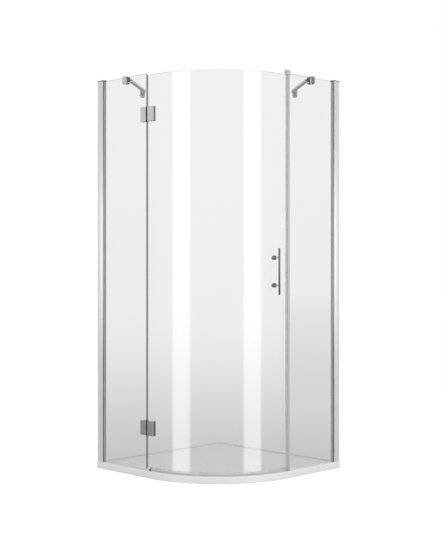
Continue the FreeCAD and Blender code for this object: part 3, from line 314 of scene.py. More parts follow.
@dataclass(frozen=True)
class Plastic(Finish):
    """Moulded plastic, rubber or cast acrylic."""

    gloss: float = 0.0  # Weight of the clear top layer.
    spread: float = 0.04  # How far the colour wanders, as a share.
    relief: float = 0.01 * MM  # Depth of the moulded skin in metres.
    bite: float = 0.4  # Strength of that relief.
    uneven: float = 0.15  # How far the roughness wanders, as a share.

    def dress(self, graph: Graph, shader: bpy.types.Node) -> None:
        """Sets a fine moulded skin and soft clouds."""
        clouds = graph.noise(Grain.PLASTIC_CLOUDS)
        graph.feed(shader, {
            "Base Color": self.tones(graph, clouds, (1 - self.spread, 1 + self.spread / 2)),
            "Roughness": around(self.roughness, self.uneven, clouds),
            "Coat Weight": self.gloss,
            "Normal": graph.bump(graph.noise(Grain.MOULDED), self.bite, self.relief),
        })


@dataclass(frozen=True)
class Acrylic(Plastic):
    """Cast acrylic of the tray, with painted shade down the basin's two rear walls."""

    shadow: float = 0.8  # Tone of the painted shade on those walls.
    frontal: Span = (0.4, 0.6)  # How far a wall faces the front for the painted shade to start and to be full.
    rear: Span = (-40 * MM, 0.0)  # Places from back to front between which the painted shade fades out.

    def dress(self, graph: Graph, shader: bpy.types.Node) -> None:
        """Sets the moulded skin and the painted shade on the rear walls."""
        super().dress(graph, shader)
        # Painted shade: the basin's rear walls, which face the front, take a darker tone of the colour.
        front = (DIAGONAL, -DIAGONAL, 0.0)
        wall = graph.ramp(graph.dot(graph.facing(), front), self.frontal, 0.0, 1.0)
        wall = wall * graph.ramp(graph.dot(graph.spot(), front), self.rear, 1.0, 0.0)
        skin = Wire(graph, shader.inputs["Base Color"].links[0].from_socket)
        graph.feed(shader, {"Base Color": graph.blend(wall, skin, dimmed(self.shade, self.shadow))})


@dataclass(frozen=True)
class TwoPartSeal(Plastic):
    """Dark soft seal that is made in one piece with a clear leg behind the glass."""

    seam: float = -428.3 * MM  # Place on the Y axis where the clear leg starts.
    blur: float = 0.2 * MM  # Half of the width over which the two run into each other.
    cover: float = 0.16  # How far the clear leg hides what is behind it.

    def dress(self, graph: Graph, shader: bpy.types.Node) -> None:
        """Sets the moulded skin and the clear leg."""
        super().dress(graph, shader)
        run = (self.seam - self.blur, self.seam + self.blur)
        graph.feed(shader, {"Alpha": graph.ramp(graph.part(graph.spot(), "Y"), run, 1.0, self.cover)})


@dataclass(frozen=True)
class Clear(Finish):
    """Clear glass."""

    edge: float = 0.0  # How far the upper edges are ground matt, from 0 for polished ones.
    edge_tone: float = 0.3  # Tone of ground edges.
    rising: Span = (0.3, 0.6)  # How far a face looks up for the grinding to start and to be full.
    bend: float = 1.5  # Index of refraction.
    wave: float = 0.01 * MM  # Depth of the slow waves of the surface in metres.
    bite: float = 0.3  # Strength of those waves.
    drift: float = 0.005  # How far the tint wanders, as a share.

    def dress(self, graph: Graph, shader: bpy.types.Node) -> None:
        """Sets faint slow waves, a faint change of tint and the ground edges."""
        tint = self.tones(graph, graph.noise(Grain.GLASS_TINT), (1 - self.drift, 1 + self.drift))
        matt: Value = self.roughness
        if self.edge > 0:
            ground = graph.ramp(graph.part(graph.facing(), "Z"), self.rising, 0.0, self.edge)
            tint = graph.blend(ground, tint, dimmed(self.shade, self.edge_tone))
            matt = matt + ground
        graph.feed(shader, {
            "Base Color": tint,
            "Roughness": matt,
            "Transmission Weight": 1.0,
            "IOR": self.bend,
            "Normal": graph.bump(graph.noise(Grain.GLASS_WAVES), self.bite, self.wave),
        })


@dataclass(frozen=True)
class Film(Finish):
    """Soft clear plastic that is too thin to bend the view."""

    cover: float = 0.2  # How far it hides what is behind it.
    span: Span = (0.96, 1.03)  # Darkest and lightest tone.
    uneven: float = 0.2  # How far the roughness wanders, as a share.
    patchy: float = 0.15  # How far the cover wanders, as a share.

    def dress(self, graph: Graph, shader: bpy.types.Node) -> None:
        """Sets faint clouds in colour, cover and gloss."""
        clouds = graph.noise(Grain.FILM_CLOUDS)
        graph.feed(shader, {
            "Base Color": self.tones(graph, clouds, self.span),
            "Roughness": around(self.roughness, self.uneven, clouds),
            "Alpha": around(self.cover, self.patchy, clouds),
        })


WHITE = grey(1.0)
FAINT_GREEN = (0.888, 0.892, 0.89)
WARM_WHITE = (0.72, 0.72, 0.70)
DRAWN = (Grain.DRAWN_UP, 0.3)  # Grain and streak of drawn metal.
TURNED = (1.0, Grain.TURNED, 0.4)  # Metal share, grain and streak of turned metal.
SOFT_SKIN = 0.02 * MM  # Relief of soft rubber.
COARSE_SKIN = 0.03 * MM  # Relief of firm rubber.

GLASS = Clear("safety_glass", FAINT_GREEN, 0.0, "clear_glass")
PANEL_GLASS = Clear("ground_edge_glass", FAINT_GREEN, 0.0, "clear_glass", edge=0.75)
CLEAR_SEAL = Film("clear_seal_strip", grey(0.74), 0.3, "clear_seal", cover=0.16)
SOFT_FIN = Film("soft_sweep_fin", grey(0.60), 0.45, "clear_seal", cover=0.6)
CHROME = Metal("polished_chrome", grey(0.82, 0.01), 0.07, "chrome", streak=0.35)
BRACKET_CHROME = Metal("bracket_chrome", grey(0.80, 0.01), 0.14, "chrome", 0.7, streak=0.3)
# Painted shade: darker copies of the chrome for the bar and the rosettes, standing in for the dark
# surroundings they reflect.
HANDLE_CHROME_PAINTED_SHADE = Metal("handle_chrome_painted_shade", grey(0.19, 0.005), 0.14, "chrome", streak=0.35)
ROSETTE_CHROME_PAINTED_SHADE = Metal("rosette_chrome_painted_shade", grey(0.30, 0.005), 0.10, "chrome", streak=0.35)
SATIN = Metal("satin_aluminium_channel", grey(0.76, 0.005), 0.18, "satin_aluminium", 0.14, *DRAWN)
# Grey aluminium of the glass channels; its dark tone also paints the shade at the channel mouths.
GREY_METAL_AND_PAINTED_SHADE = Metal("grey_aluminium_channel_and_painted_shade", grey(0.34, 0.005), 0.12, "grey_aluminium", 0.95, *DRAWN)
STRIKE_METAL = Metal("closing_strip_aluminium", grey(0.56, 0.005), 0.38, "grey_aluminium", 0.25, *DRAWN)
STEEL = Metal("screw_steel", grey(0.55), 0.28, "steel", *TURNED)
DARK_STEEL = Metal("dark_screw_steel", grey(0.10), 0.35, "steel", *TURNED)
ACRYLIC = Acrylic("white_cast_acrylic_rear_painted_shade", grey(0.85), 0.24, "white_acrylic", gloss=0.1, spread=0.015)
WHITE_STRIP = Plastic("white_water_bar", grey(0.80), 0.38, "white_strip")
GREY_CAP = Plastic("grey_cap_plastic", grey(0.17, 0.005), 0.42, "grey_plastic")
LIGHT_CAP = Plastic("light_cap_plastic", grey(0.52, 0.005), 0.40, "grey_plastic")
DARK_SEAL = TwoPartSeal("dark_seal_rubber", grey(0.25), 0.5, "dark_seal", relief=SOFT_SKIN)
GREY_RUBBER = Plastic("grey_pad_rubber", grey(0.16), 0.62, "grey_rubber", relief=COARSE_SKIN)
GLAZING_RUBBER = Plastic("pale_glazing_rubber", grey(0.53), 0.4, "grey_rubber", relief=SOFT_SKIN)
BLACK_NYLON = Plastic("black_hinge_nylon", grey(0.012), 0.42, "black_nylon")
WHITE_NYLON = Plastic("white_bush_nylon", WARM_WHITE, 0.45, "white_nylon")
MAGNET = Plastic("grey_magnet_strip", grey(0.55), 0.55, "magnet_strip", relief=COARSE_SKIN)


@dataclass
class Loft:
    """A skin over rings that all have the same count of points."""

    rings: list[Ring]
    looped: bool = False  # True where the last ring joins the first one, as round a tunnel.

    def faces(self, start: int) -> list[list[int]]:
        """Lists the faces of the skin.

        Args:
            start: Number of the first point in the whole mesh.

        Returns:
            Point numbers of each face, with caps on open ends.
        """
        count = len(self.rings[0])
        spans = len(self.rings) - (0 if self.looped else 1)
        found = []
        for span in range(spans):
            near = start + span * count
            far = start + (span + 1) % len(self.rings) * count
            for step in range(count):
                after = (step + 1) % count
                found.append([near + step, near + after, far + after, far + step])
        if not self.looped:
            last = start + (len(self.rings) - 1) * count
            found.append([start + step for step in range(count)])
            found.append([last + step for step in range(count)])
        return found


def make_piece(
    name: str, lofts: Iterable[Loft], body: str, finish: Finish, crease: float = 32.0
) -> bpy.types.Object:
    """Makes one piece out of lofts and lets it ride on a body.

    Args:
        name: Name of the piece.
        lofts: Skins that make it up.
        body: Body that carries it.
        finish: Finish of its surface.
        crease: Angle in degrees above which an edge stays sharp.

    Returns:
        The new object.
    """
    points: list[Vector] = []
    faces: list[list[int]] = []
    for loft in lofts:
        faces += loft.faces(len(points))
        points += [point for ring in loft.rings for point in ring]
    mesh = bpy.data.meshes.new(name)
    mesh.from_pydata(points, [], faces)
    shaped = bmesh.new()
    shaped.from_mesh(mesh)
    bmesh.ops.recalc_face_normals(shaped, faces=shaped.faces)
    shaped.to_mesh(mesh)
    shaped.free()
    mesh.shade_smooth()
    mesh.set_sharp_from_angle(angle=math.radians(crease))
    mesh.materials.append(finish.material())
    piece = bpy.data.objects.new(name, mesh)
    bpy.context.scene.collection.objects.link(piece)
    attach(piece, body)
    LOG.info("built %s: %d points on %s", name, len(points), body)
    return piece


def dress_nodes(frame: Frame, finishes: dict[str, Finish]) -> None:
    """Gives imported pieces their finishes.

    Args:
        frame: The loaded frame.
        finishes: Finish of each node, by the node's name.
    """
    for name, finish in finishes.items():
        for slot in frame["nodes"][name].material_slots:
            slot.material = finish.material()
        LOG.info("dressed %s in %s", name, finish.name)


def corners(points: Sequence[Vector]) -> tuple[Vector, Vector]:
    """Gives the lowest and highest corner of some points."""
    low = Vector([min(point[axis] for point in points) for axis in range(3)])
    high = Vector([max(point[axis] for point in points) for axis in range(3)])
    return low, high


def solid_boxes(frame: Frame, name: str, grid: float = 0.01 * MM) -> list[tuple[Vector, Vector]]:
    """Finds the separate solids of a node.

    Args:
        frame: The loaded frame.
        name: Node to look at.
        grid: Points on the same place of this grid count as one.

    Returns:
        Lowest and highest corner of each solid.
    """
    mesh = frame["nodes"][name].data
    owner: dict[tuple[int, ...], int] = {}
    links = list(range(len(mesh.vertices)))

    def root(index: int) -> int:
        """Follows the links of a point to its first one."""
        while links[index] != index:
            index = links[index]
        return index

    for point in mesh.vertices:
        key = tuple(round(part / grid) for part in point.co)
        links[point.index] = owner.setdefault(key, point.index)
    for face in mesh.polygons:
        first = root(face.vertices[0])
        for other in face.vertices:
            links[root(other)] = first
    groups: dict[int, list[Vector]] = {}
    for point in mesh.vertices:
        groups.setdefault(root(point.index), []).append(point.co)
    return [corners(points) for _, points in sorted(groups.items())]


def quarter(steps: int, first: int = 0) -> list[float]:
    """Gives the turns through a quarter circle in even steps, after so many whole quarters."""
    return [QUARTER_TURN * (first + step / steps) for step in range(steps + 1)]


class Section(Enum):
    """Cross-section of a ring on a turned piece."""

    ROUND = 0
    HEX = 1
    CROSS = 2

    def reach(self, turn: float) -> float:
        """Gives the radius at a turn, for a section of radius 1.

        Args:
            turn: Turn round the axis in radians.

        Returns:
            Distance from the axis.
        """
        if self is Section.HEX:
            sixth = FULL_TURN / 6
            return math.cos(sixth / 2) / math.cos(turn % sixth - sixth / 2)
        if self is Section.CROSS:
            slant = (turn + QUARTER_TURN / 2) % QUARTER_TURN - QUARTER_TURN / 2
            return min(1 / math.cos(slant), CROSS_ARM / max(abs(math.sin(slant)), NEAR_ZERO))
        return 1.0


Profile = list[tuple[float, float, Section]]


def turned(profile: Profile, start: Vector, axis: Vector, steps: int) -> Loft:
    """Turns a profile about an axis.

    Args:
        profile: Radius, distance along the axis and section of each ring, in metres.
        start: Point where the distance is 0.
        axis: Direction of the axis.
        steps: Points in each ring.

    Returns:
        The turned skin, closed at both ends.
    """
    along = axis.normalized()
    side = along.orthogonal().normalized()
    other = along.cross(side)
    rings = []
    for radius, distance, section in profile:
        ring = []
        for step in range(steps):
            turn = FULL_TURN * step / steps
            way = side * math.cos(turn) + other * math.sin(turn)
            ring.append(start + along * distance + way * (radius * section.reach(turn)))
        rings.append(ring)
    return Loft(rings)


def plain(*rings: Span) -> Profile:
    """Makes a profile with round sections from the radius and distance of each ring."""
    return [(radius, distance, Section.ROUND) for radius, distance in rings]


def dome(radius: float, edge: float, base: float, height: float, steps: int) -> list[Span]:
    """Gives the rings of a rounded end, which reaches in by an edge and rises from a base by a height."""
    return [(radius - edge + edge * math.cos(a), base + height * math.sin(a)) for a in quarter(steps)]


@dataclass(frozen=True)
class FrontPlan:
    """Plan of the tray and the door, shared by all curved pieces."""

    side: float  # Length of the tray along each wall.
    radius: float = 480 * MM  # Outer radius of the curved front.
    steps: int = 96  # Steps in the quarter curve.
    side_steps: int = 10  # Steps in each rounded corner and along each straight side.

    @property
    def half(self) -> float:
        """Half of the tray's side."""
        return self.side / 2

    @property
    def centre(self) -> Vector:
        """Centre of the curved front."""
        return Vector((self.half - self.radius, self.radius - self.half, 0))

    def curve(self, inset: float, turn: float, z: float) -> Vector:
        """Gives a point of the curve by its inset, its turn from the hinge side and its height."""
        reach = self.radius - inset
        return self.centre + Vector((reach * math.sin(turn), -reach * math.cos(turn), z))

    def band(self, section: Sequence[Span], start: float, end: float) -> list[Ring]:
        """Runs a section along the door: flat hinge end, curve, flat closing end.

        Args:
            section: Inset and height of each point of the section.
            start: Distance of the hinge end from its wall.
            end: Distance of the closing end from its wall.

        Returns:
            One ring for each step along the door.
        """
        rings = [[Vector((start - self.half, inset - self.half, z)) for inset, z in section]]
        for turn in quarter(self.steps):
            rings.append([self.curve(inset, turn, z) for inset, z in section])
        rings.append([Vector((self.half - inset, self.half - end, z)) for inset, z in section])
        return rings

    def between(self, first: Vector, last: Vector) -> Ring:
        """Gives the points along a straight side, without its ends."""
        return [first.lerp(last, step / self.side_steps) for step in range(1, self.side_steps)]

    def outline(self, inset: float, back: float, corner: float) -> Ring:
        """Gives the tray's outline moved inwards, with rounded corners.

        Args:
            inset: Distance inwards from the front edges.
            back: Distance inwards from the two walls.
            corner: Radius of the three square corners.

        Returns:
            Points round the outline at height 0.
        """
        near, far = self.half - inset, self.half - back
        points = [self.curve(inset, turn, 0) for turn in quarter(self.steps)]
        for number, (x, y) in enumerate(((near, far), (-far, far), (-far, -near))):
            middle = Vector((x - math.copysign(corner, x), y - math.copysign(corner, y), 0))
            turns = quarter(self.side_steps, number)
            arc = [middle + Vector((math.cos(a), math.sin(a), 0)) * corner for a in turns]
            points += self.between(points[-1], arc[0]) + arc
        return points + self.between(points[-1], points[0])


@dataclass
class WaterBar:
    """The rounded water bar behind the door."""

    plan: FrontPlan
    near: float = 25.5 * MM  # Tray edge to the bar's outer side.
    far: float = 33.5 * MM  # Tray edge to its inner side.
    start: float = 376 * MM  # Distance of its hinge end from the wall.
    end: float = 388 * MM  # Distance of its closing end from the wall.
    edge: float = 2 * MM  # Rounding of its top.

    def build(self, height: float) -> None:
        """Builds the bar.

        Args:
            height: Height of the rim that carries it.
        """
        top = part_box("threshold_strip")[1][2]
        section = [(self.near, height), (self.far, height)]
        for number, middle in enumerate((self.far - self.edge, self.near + self.edge)):
            for a in quarter(EDGE_STEPS, number):
                rise = top - self.edge + self.edge * math.sin(a)
                section.append((middle + self.edge * math.cos(a), rise))
        band = self.plan.band(section, self.start, self.end)
        bar = make_piece("water_bar", [Loft(band)], "frame", WHITE_STRIP)
        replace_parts(bar, "threshold_strip")


@dataclass
class WasteCover:
    """The dished cover over the waste, with a grip groove and feet."""

    waste: Vector  # Centre of the outlet.
    hole: float  # Radius of the outlet.
    under: float = 16 * MM  # Height of the plate's underside.
    edge: float = 1 * MM  # Rounding of the upper edge.
    bevel: float = 0.8 * MM  # Bevel of the lower edge.
    groove: float = 42 * MM  # Radius of the groove's middle.
    groove_half: float = 2 * MM  # Half of the groove's width.
    # Share of that half and depth at each step across the groove.
    groove_dip: tuple[Span, ...] = ((1, 0), (0.7, 0.7 * MM), (0, 0.9 * MM), (-0.7, 0.7 * MM), (-1, 0))
    hub: float = 2 * MM  # Radius of the flat middle.
    dish: float = 0.3 * MM  # How far the middle lies lower than the edge.
    feet: int = 3
    foot: float = 3 * MM  # Radius of a foot.
    foot_edge: float = 0.6 * MM  # Rounding under a foot.
    plate_steps: int = 96  # Points round the plate.
    foot_steps: int = 24  # Points round a foot.

    def build(self) -> None:
        """Builds the plate and its feet."""
        low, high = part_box("waste_cover")
        radius = (high[0] - low[0]) / 2
        under, top = self.under - low[2], high[2] - low[2]
        rings = [(self.hub, under), (radius - self.bevel, under), (radius, under + self.bevel)]
        rings += dome(radius, self.edge, top - self.edge, self.edge, EDGE_STEPS)
        rings += [(self.groove + share * self.groove_half, top - dip) for share, dip in self.groove_dip]
        rings.append((self.hub, top - self.dish))
        start = self.waste + UP * low[2]
        lofts = [turned(plain(*rings), start, UP, self.plate_steps)]
        sole = dome(self.foot, self.foot_edge, self.foot_edge, -self.foot_edge, TINY_STEPS)
        for number in range(self.feet):
            turn = FULL_TURN * number / self.feet
            way = Vector((math.cos(turn), math.sin(turn), 0))
            place = start + way * ((self.hole + radius) / 2)
            leg = plain(*reversed(sole), (self.foot, under))
            lofts.append(turned(leg, place, UP, self.foot_steps))
        cover = make_piece("drain_cover", lofts, "cover", ACRYLIC)
        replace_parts(cover, "waste_cover")


@dataclass
class Tray:
    """The low tray, its water bar and the cover over the waste."""

    plan: FrontPlan
    edge: float = 5 * MM  # Rounding of the outer top edge.
    edge_steps: int = 6  # Steps in that rounding.
    foot: float = 1.5 * MM  # Small bevel of the lower edge.
    rim: float = 37 * MM  # Width of the rim along the front.
    back_rim: float = 14 * MM  # Width of the rim along the walls.
    rim_edge: float = 3 * MM  # Rounding where the rim drops to the basin.
    corner: float = 30 * MM  # Rounding of the basin's corners.
    cove: float = 5 * MM  # Rounding where the basin's wall meets its floor.
    floor_low: float = 20 * MM  # Height of the floor at the waste.
    floor_steps: int = 12  # Rings of the floor.
    fall: float = 0.010  # Rise of the floor for each metre from the waste.
    waste_radius: float = 45 * MM  # Radius of the outlet.
    seat_radius: float = 58 * MM  # Radius where the floor ends above the cover's seat.
    seat_edge: float = 0.6 * MM  # Width of the floor's level edge there.
    seat: float = 14 * MM  # Height of the seat.
    crease: float = 40.0  # Angle in degrees above which the tray's edges stay sharp.

    @cached_property
    def waste(self) -> Vector:
        """Centre of the outlet, from the cover in the frame."""
        low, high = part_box("waste_cover")
        return Vector(((low[0] + high[0]) / 2, (low[1] + high[1]) / 2, 0))

    def floor(self, point: Vector) -> float:
        """Gives the height of the dished floor at a point."""
        return self.floor_low + self.fall * (point - self.waste).to_2d().length

    def circle(self, radius: float, guide: Sequence[Vector], z: float) -> Ring:
        """Gives a ring round the waste whose points face those of an outline.

        Args:
            radius: Radius of the ring.
            guide: Outline to face.
            z: Height of the ring.

        Returns:
            The ring.
        """
        ring = []
        for point in guide:
            way = (point - self.waste).to_2d().normalized()
            ring.append(self.waste + Vector((way.x * radius, way.y * radius, z)))
        return ring

    def level(self, inset: float, z: float) -> Ring:
        """Gives an outline of the tray's outside at one height."""
        return [point + UP * z for point in self.plan.outline(inset, inset, self.edge)]

    def opening(self, inset: float) -> Ring:
        """Gives the outline of the basin, moved inwards from the rim's inner edge."""
        return self.plan.outline(self.rim + inset, self.back_rim + inset, self.corner)

    def outside(self, height: float) -> list[Ring]:
        """Gives the rings up the outer wall and over the rim.

        Args:
            height: Height of the rim.

        Returns:
            Rings from the underside to the inner edge of the rim.
        """
        rings = [self.level(self.foot, 0), self.level(0, self.foot), self.level(0, height - self.edge)]
        for a in quarter(self.edge_steps)[1:]:
            rise = height - self.edge + self.edge * math.sin(a)
            rings.append(self.level(self.edge * (1 - math.cos(a)), rise))
        for a in quarter(EDGE_STEPS):
            rise = UP * (height - self.rim_edge + self.rim_edge * math.cos(a))
            rings.append([point + rise for point in self.opening(self.rim_edge * (math.sin(a) - 1))])
        return rings

    def basin(self) -> list[Ring]:
        """Gives the rings down the basin's wall and over its floor to the waste.

        Returns:
            Rings from the rim to the outlet's lower end.
        """
        rings = []
        for a in quarter(EDGE_STEPS):
            lift = self.cove * (1 - math.sin(a))
            outline = self.opening(self.cove * (1 - math.cos(a)))
            rings.append([point + UP * (self.floor(point) + lift) for point in outline])
        guide = self.opening(self.cove)
        middle = self.circle(self.seat_radius, guide, 0)
        for step in range(1, self.floor_steps + 1):
            ring = [point.lerp(inner, step / self.floor_steps) for point, inner in zip(guide, middle)]
            rings.append([point + UP * self.floor(point) for point in ring])
        drop, hole = self.seat_radius - self.seat_edge, self.waste_radius
        for radius, z in ((drop, self.floor_low), (drop, self.seat), (hole, self.seat), (hole, 0)):
            rings.append(self.circle(radius, guide, z))
        return rings

    def build(self) -> None:
        """Builds the tray, the water bar and the waste cover."""
        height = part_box("shower_tray")[1][2]
        skin = Loft(self.outside(height) + self.basin(), looped=True)
        tray = make_piece("tray", [skin], "frame", ACRYLIC, self.crease)
        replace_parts(tray, "shower_tray")
        WaterBar(self.plan).build(height)
        WasteCover(self.waste, self.waste_radius).build()


@dataclass
class Handle:
    """The bar handle with its two posts and the nuts behind the glass."""

    frame: Frame
    plan: FrontPlan
    face: float  # Radius of the door's outer glass face.
    glass: float  # Thickness of the glass.
    end: Span = (3.5 * MM, 2.2 * MM)  # Reach and rise of the rounding at the bar's ends.
    end_steps: int = 8  # Steps in that rounding.
    rosette: float = 11 * MM  # Radius of the posts and nuts at the glass.
    # How far a post's first ring is drawn in, and its distance from the glass.
    lip: Span = (0.6 * MM, 0.9 * MM)
    collar: Span = (1.4 * MM, 3 * MM)  # Distances from the glass between which a post is straight.
    flare: Span = (6.3 * MM, 10 * MM)  # How far a post narrows after that, and over what length.
    flare_steps: int = 8  # Steps in that part.
    neck: float = 4.5 * MM  # Radius of the necks between posts and bar.
    # Start of a neck from the glass, and its end from the bar's axis.
    neck_ends: Span = (12 * MM, 2 * MM)
    washer: float = 1 * MM  # Thickness of the washers behind the glass.
    # How far a nut's first ring is drawn in, and over what length.
    nut_lip: Span = (0.4 * MM, 0.5 * MM)
    # Reach of the rounding of a nut's end, where it starts and its rise.
    nut_end: tuple[float, float, float] = (9 * MM, 7 * MM, 5 * MM)
    nut_steps: int = 10  # Steps in that rounding.
    bar_steps: int = 64  # Points round the bar.
    post_steps: int = 48  # Points round the posts, necks and nuts.

    def build(self) -> None:
        """Builds the bar, the flared posts and the domed nuts."""
        low, high = (Vector(corner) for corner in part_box("handle_bar"))
        foot = Vector(((low.x + high.x) / 2, (low.y + high.y) / 2, low.z))
        reach, rise = self.end
        ends = dome((high.x - low.x) / 2, reach, 0, rise, self.end_steps)
        lower = [(radius, rise - along) for radius, along in reversed(ends)]
        upper = [(radius, high.z - low.z - rise + along) for radius, along in ends]
        skin = turned(plain(*lower, *upper), foot, UP, self.bar_steps)
        bar = make_piece("grip_bar", [skin], "door", HANDLE_CHROME_PAINTED_SHADE)
        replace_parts(bar, "handle_bar")
        self.build_posts((foot - self.plan.centre).to_2d().to_3d())

    def post(self) -> Profile:
        """Gives the profile of a post's flared end at the glass.

        Returns:
            Radius, distance and section of each ring.
        """
        rings = [(self.rosette - self.lip[0], self.lip[1])]
        rings += [(self.rosette, distance) for distance in self.collar]
        for step in range(1, self.flare_steps + 1):
            share = step / self.flare_steps
            fall = (1 - math.cos(math.pi * share)) / 2
            rings.append((self.rosette - self.flare[0] * fall, self.collar[1] + self.flare[1] * share))
        return plain(*rings)

    def build_posts(self, arm: Vector) -> None:
        """Builds both posts and both nuts.

        Args:
            arm: Level line from the centre of the curved front to the bar's axis.
        """
        out = arm.normalized()
        tip = arm.length - self.face - self.neck_ends[1]
        neck = plain((self.neck, self.neck_ends[0]), (self.neck, tip))
        reach, start, rise = self.nut_end
        nut = plain((self.rosette - self.nut_lip[0], 0), (self.rosette, self.nut_lip[1]))
        nut += plain(*dome(self.rosette, reach, start, rise, self.nut_steps))
        rosettes, necks, nuts = [], [], []
        for low, high in solid_boxes(self.frame, "handle_posts"):
            spot = self.plan.centre + out * self.face + UP * ((low.z + high.z) / 2)
            back = spot - out * (self.glass + self.washer)
            rosettes.append(turned(self.post(), spot, out, self.post_steps))
            necks.append(turned(neck, spot, out, self.post_steps))
            nuts.append(turned(nut, back, -out, self.post_steps))
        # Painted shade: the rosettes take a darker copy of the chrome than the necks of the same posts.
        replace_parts(make_piece("grip_rosettes", rosettes, "door", ROSETTE_CHROME_PAINTED_SHADE), "handle_posts")
        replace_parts(make_piece("grip_necks", necks, "door", CHROME), "handle_posts")
        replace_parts(make_piece("grip_nuts", nuts, "door", CHROME), "handle_caps")


@dataclass
class Door:
    """The curved glass door with its seals and handle."""

    frame: Frame
    plan: FrontPlan
    inset: float = 16 * MM  # Tray edge to the outer glass face.
    glass: float = 6 * MM  # Thickness of the glass.
    arris: float = 0.8 * MM  # Ground edge of the glass.
    start: float = 382 * MM  # Hinge edge of the glass from its wall.
    end: float = 401 * MM  # Closing edge of the glass from its wall.
    wall: float = 1.1 * MM  # Wall of the sweep.
    web: float = 1.5 * MM  # Thickness of the sweep's clip under the glass.
    fin: float = 1.2 * MM  # Thickness of the sweep's fin.
    plug: float = 19 * MM  # Hinge edge of the glass to the middle of the plug where the fin starts.
    plug_side: float = 1.6 * MM  # How far the plug stands out on both sides of the glass.
    plug_play: float = 0.5 * MM  # Gap above and below the plug.
    plug_corner: float = 1.5 * MM  # Rounding of its corners.
    # Distance from its middle and shrinking of each ring at an end.
    plug_ends: tuple[Span, ...] = ((5 * MM, 1 * MM), (4.2 * MM, 0.2 * MM), (3.9 * MM, 0))

    def pane(self, shrink: float) -> list[Span]:
        """Gives the section of the glass with ground edges.

        Args:
            shrink: How far the whole section is drawn in, for the ground ends.

        Returns:
            Inset and height of each point.
        """
        low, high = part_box("door_panel")
        v0, v1 = self.inset + shrink, self.inset + self.glass - shrink
        z0, z1 = low[2] + shrink, high[2] - shrink
        cut = self.arris if shrink == 0 else self.arris / 4
        return [
            (v0 + cut, z0), (v1 - cut, z0), (v1, z0 + cut), (v1, z1 - cut),
            (v1 - cut, z1), (v0 + cut, z1), (v0, z1 - cut), (v0, z0 + cut),
        ]

    def build(self) -> None:
        """Builds the glass, the sweep and the handle, and dresses the other pieces."""
        full = self.plan.band(self.pane(0), self.start + self.arris, self.end + self.arris)
        ends = self.plan.band(self.pane(self.arris), self.start, self.end)
        glass = make_piece("door_glass", [Loft([ends[0], *full, ends[-1]])], "door", GLASS)
        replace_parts(glass, "door_panel")
        self.build_sweep()
        Handle(self.frame, self.plan, self.plan.radius - self.inset, self.glass).build()
        dress_nodes(self.frame, {
            "door_hinge_seal": DARK_SEAL,
            "door_close_seal": CLEAR_SEAL,
            "door_magnet": MAGNET,
            "handle_washers": GREY_RUBBER,
        })

    def build_sweep(self) -> None:
        """Builds the seal under the door: a clip, a fin and the plug where the fin starts."""
        low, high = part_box("door_sweep")
        top, foot = high[2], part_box("door_panel")[0][2]
        base = foot - self.web
        out, back = self.inset, self.inset + self.glass
        middle, half = (out + back) / 2, self.fin / 2
        clip = [
            (out - self.wall, top), (out - self.wall, base), (back + self.wall, base),
            (back + self.wall, top), (back, top), (back, foot), (out, foot), (out, top),
        ]
        fin = [
            (middle - half, base), (middle - half / 2, low[2]),
            (middle + half / 2, low[2]), (middle + half, base),
        ]
        for name, section, start, finish in (
            ("sweep_clip", clip, self.start, CLEAR_SEAL),
            ("sweep_fin", fin, self.start + self.plug, SOFT_FIN),
        ):
            sweep = make_piece(name, [Loft(self.plan.band(section, start, self.end))], "door", finish)
            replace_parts(sweep, "door_sweep")
        self.build_plug(low[2] + self.plug_play, base - self.plug_play)

    def build_plug(self, low: float, high: float) -> None:
        """Builds the dark plug where the sweep's fin starts.

        Args:
            low: Height of its underside.
            high: Height of its top.
        """
        near, far = self.inset - self.plug_side, self.inset + self.glass + self.plug_side
        bends = ((far, high), (near, high), (near, low), (far, low))
        ends = [(-along, shrink) for along, shrink in self.plug_ends]
        rings = []
        for along, shrink in (*ends, *reversed(self.plug_ends)):
            x = self.start + self.plug + along - self.plan.half
            reach = self.plug_corner - shrink
            ring = []
            for number, (side, level) in enumerate(bends):
                y = side + math.copysign(self.plug_corner, near + far - 2 * side) - self.plan.half
                z = level + math.copysign(self.plug_corner, low + high - 2 * level)
                for a in quarter(TINY_STEPS, number):
                    ring.append(Vector((x, y + reach * math.cos(a), z + reach * math.sin(a))))
            rings.append(ring)
        make_piece("sweep_end_plug", [Loft(rings)], "door", BLACK_NYLON)


class Side(Enum):
    """The two fixed sides, by the word in their nodes' names."""

    LEFT = "left"
    RIGHT = "right"

    @property
    def inward(self) -> Vector:
        """Direction from the outside of this side's glass into the shower."""
        return Vector((0, 1, 0)) if self is Side.LEFT else Vector((-1, 0, 0))


@dataclass
class Hinges:
    """The two clamp hinges between the left panel and the door."""

    frame: Frame

    def build(self) -> None:
        """Dresses the plates, blocks, knuckles, pins, bushes and pads."""
        for level in ("upper", "lower"):
            plates = ("fixed_plate", "fixed_back", "door_plate", "door_back")
            dress_nodes(self.frame, {f"{level}_hinge_{plate}": CHROME for plate in plates})
            dress_nodes(self.frame, {
                f"{level}_hinge_pivot_blocks": BLACK_NYLON,
                f"{level}_hinge_pin": STEEL,
            })
        dress_nodes(self.frame, {
            "hinge_knuckles": BLACK_NYLON,
            "hinge_bushes": WHITE_NYLON,
            "hinge_fixed_gaskets": GREY_RUBBER,
            "hinge_door_gaskets": GREY_RUBBER,
        })


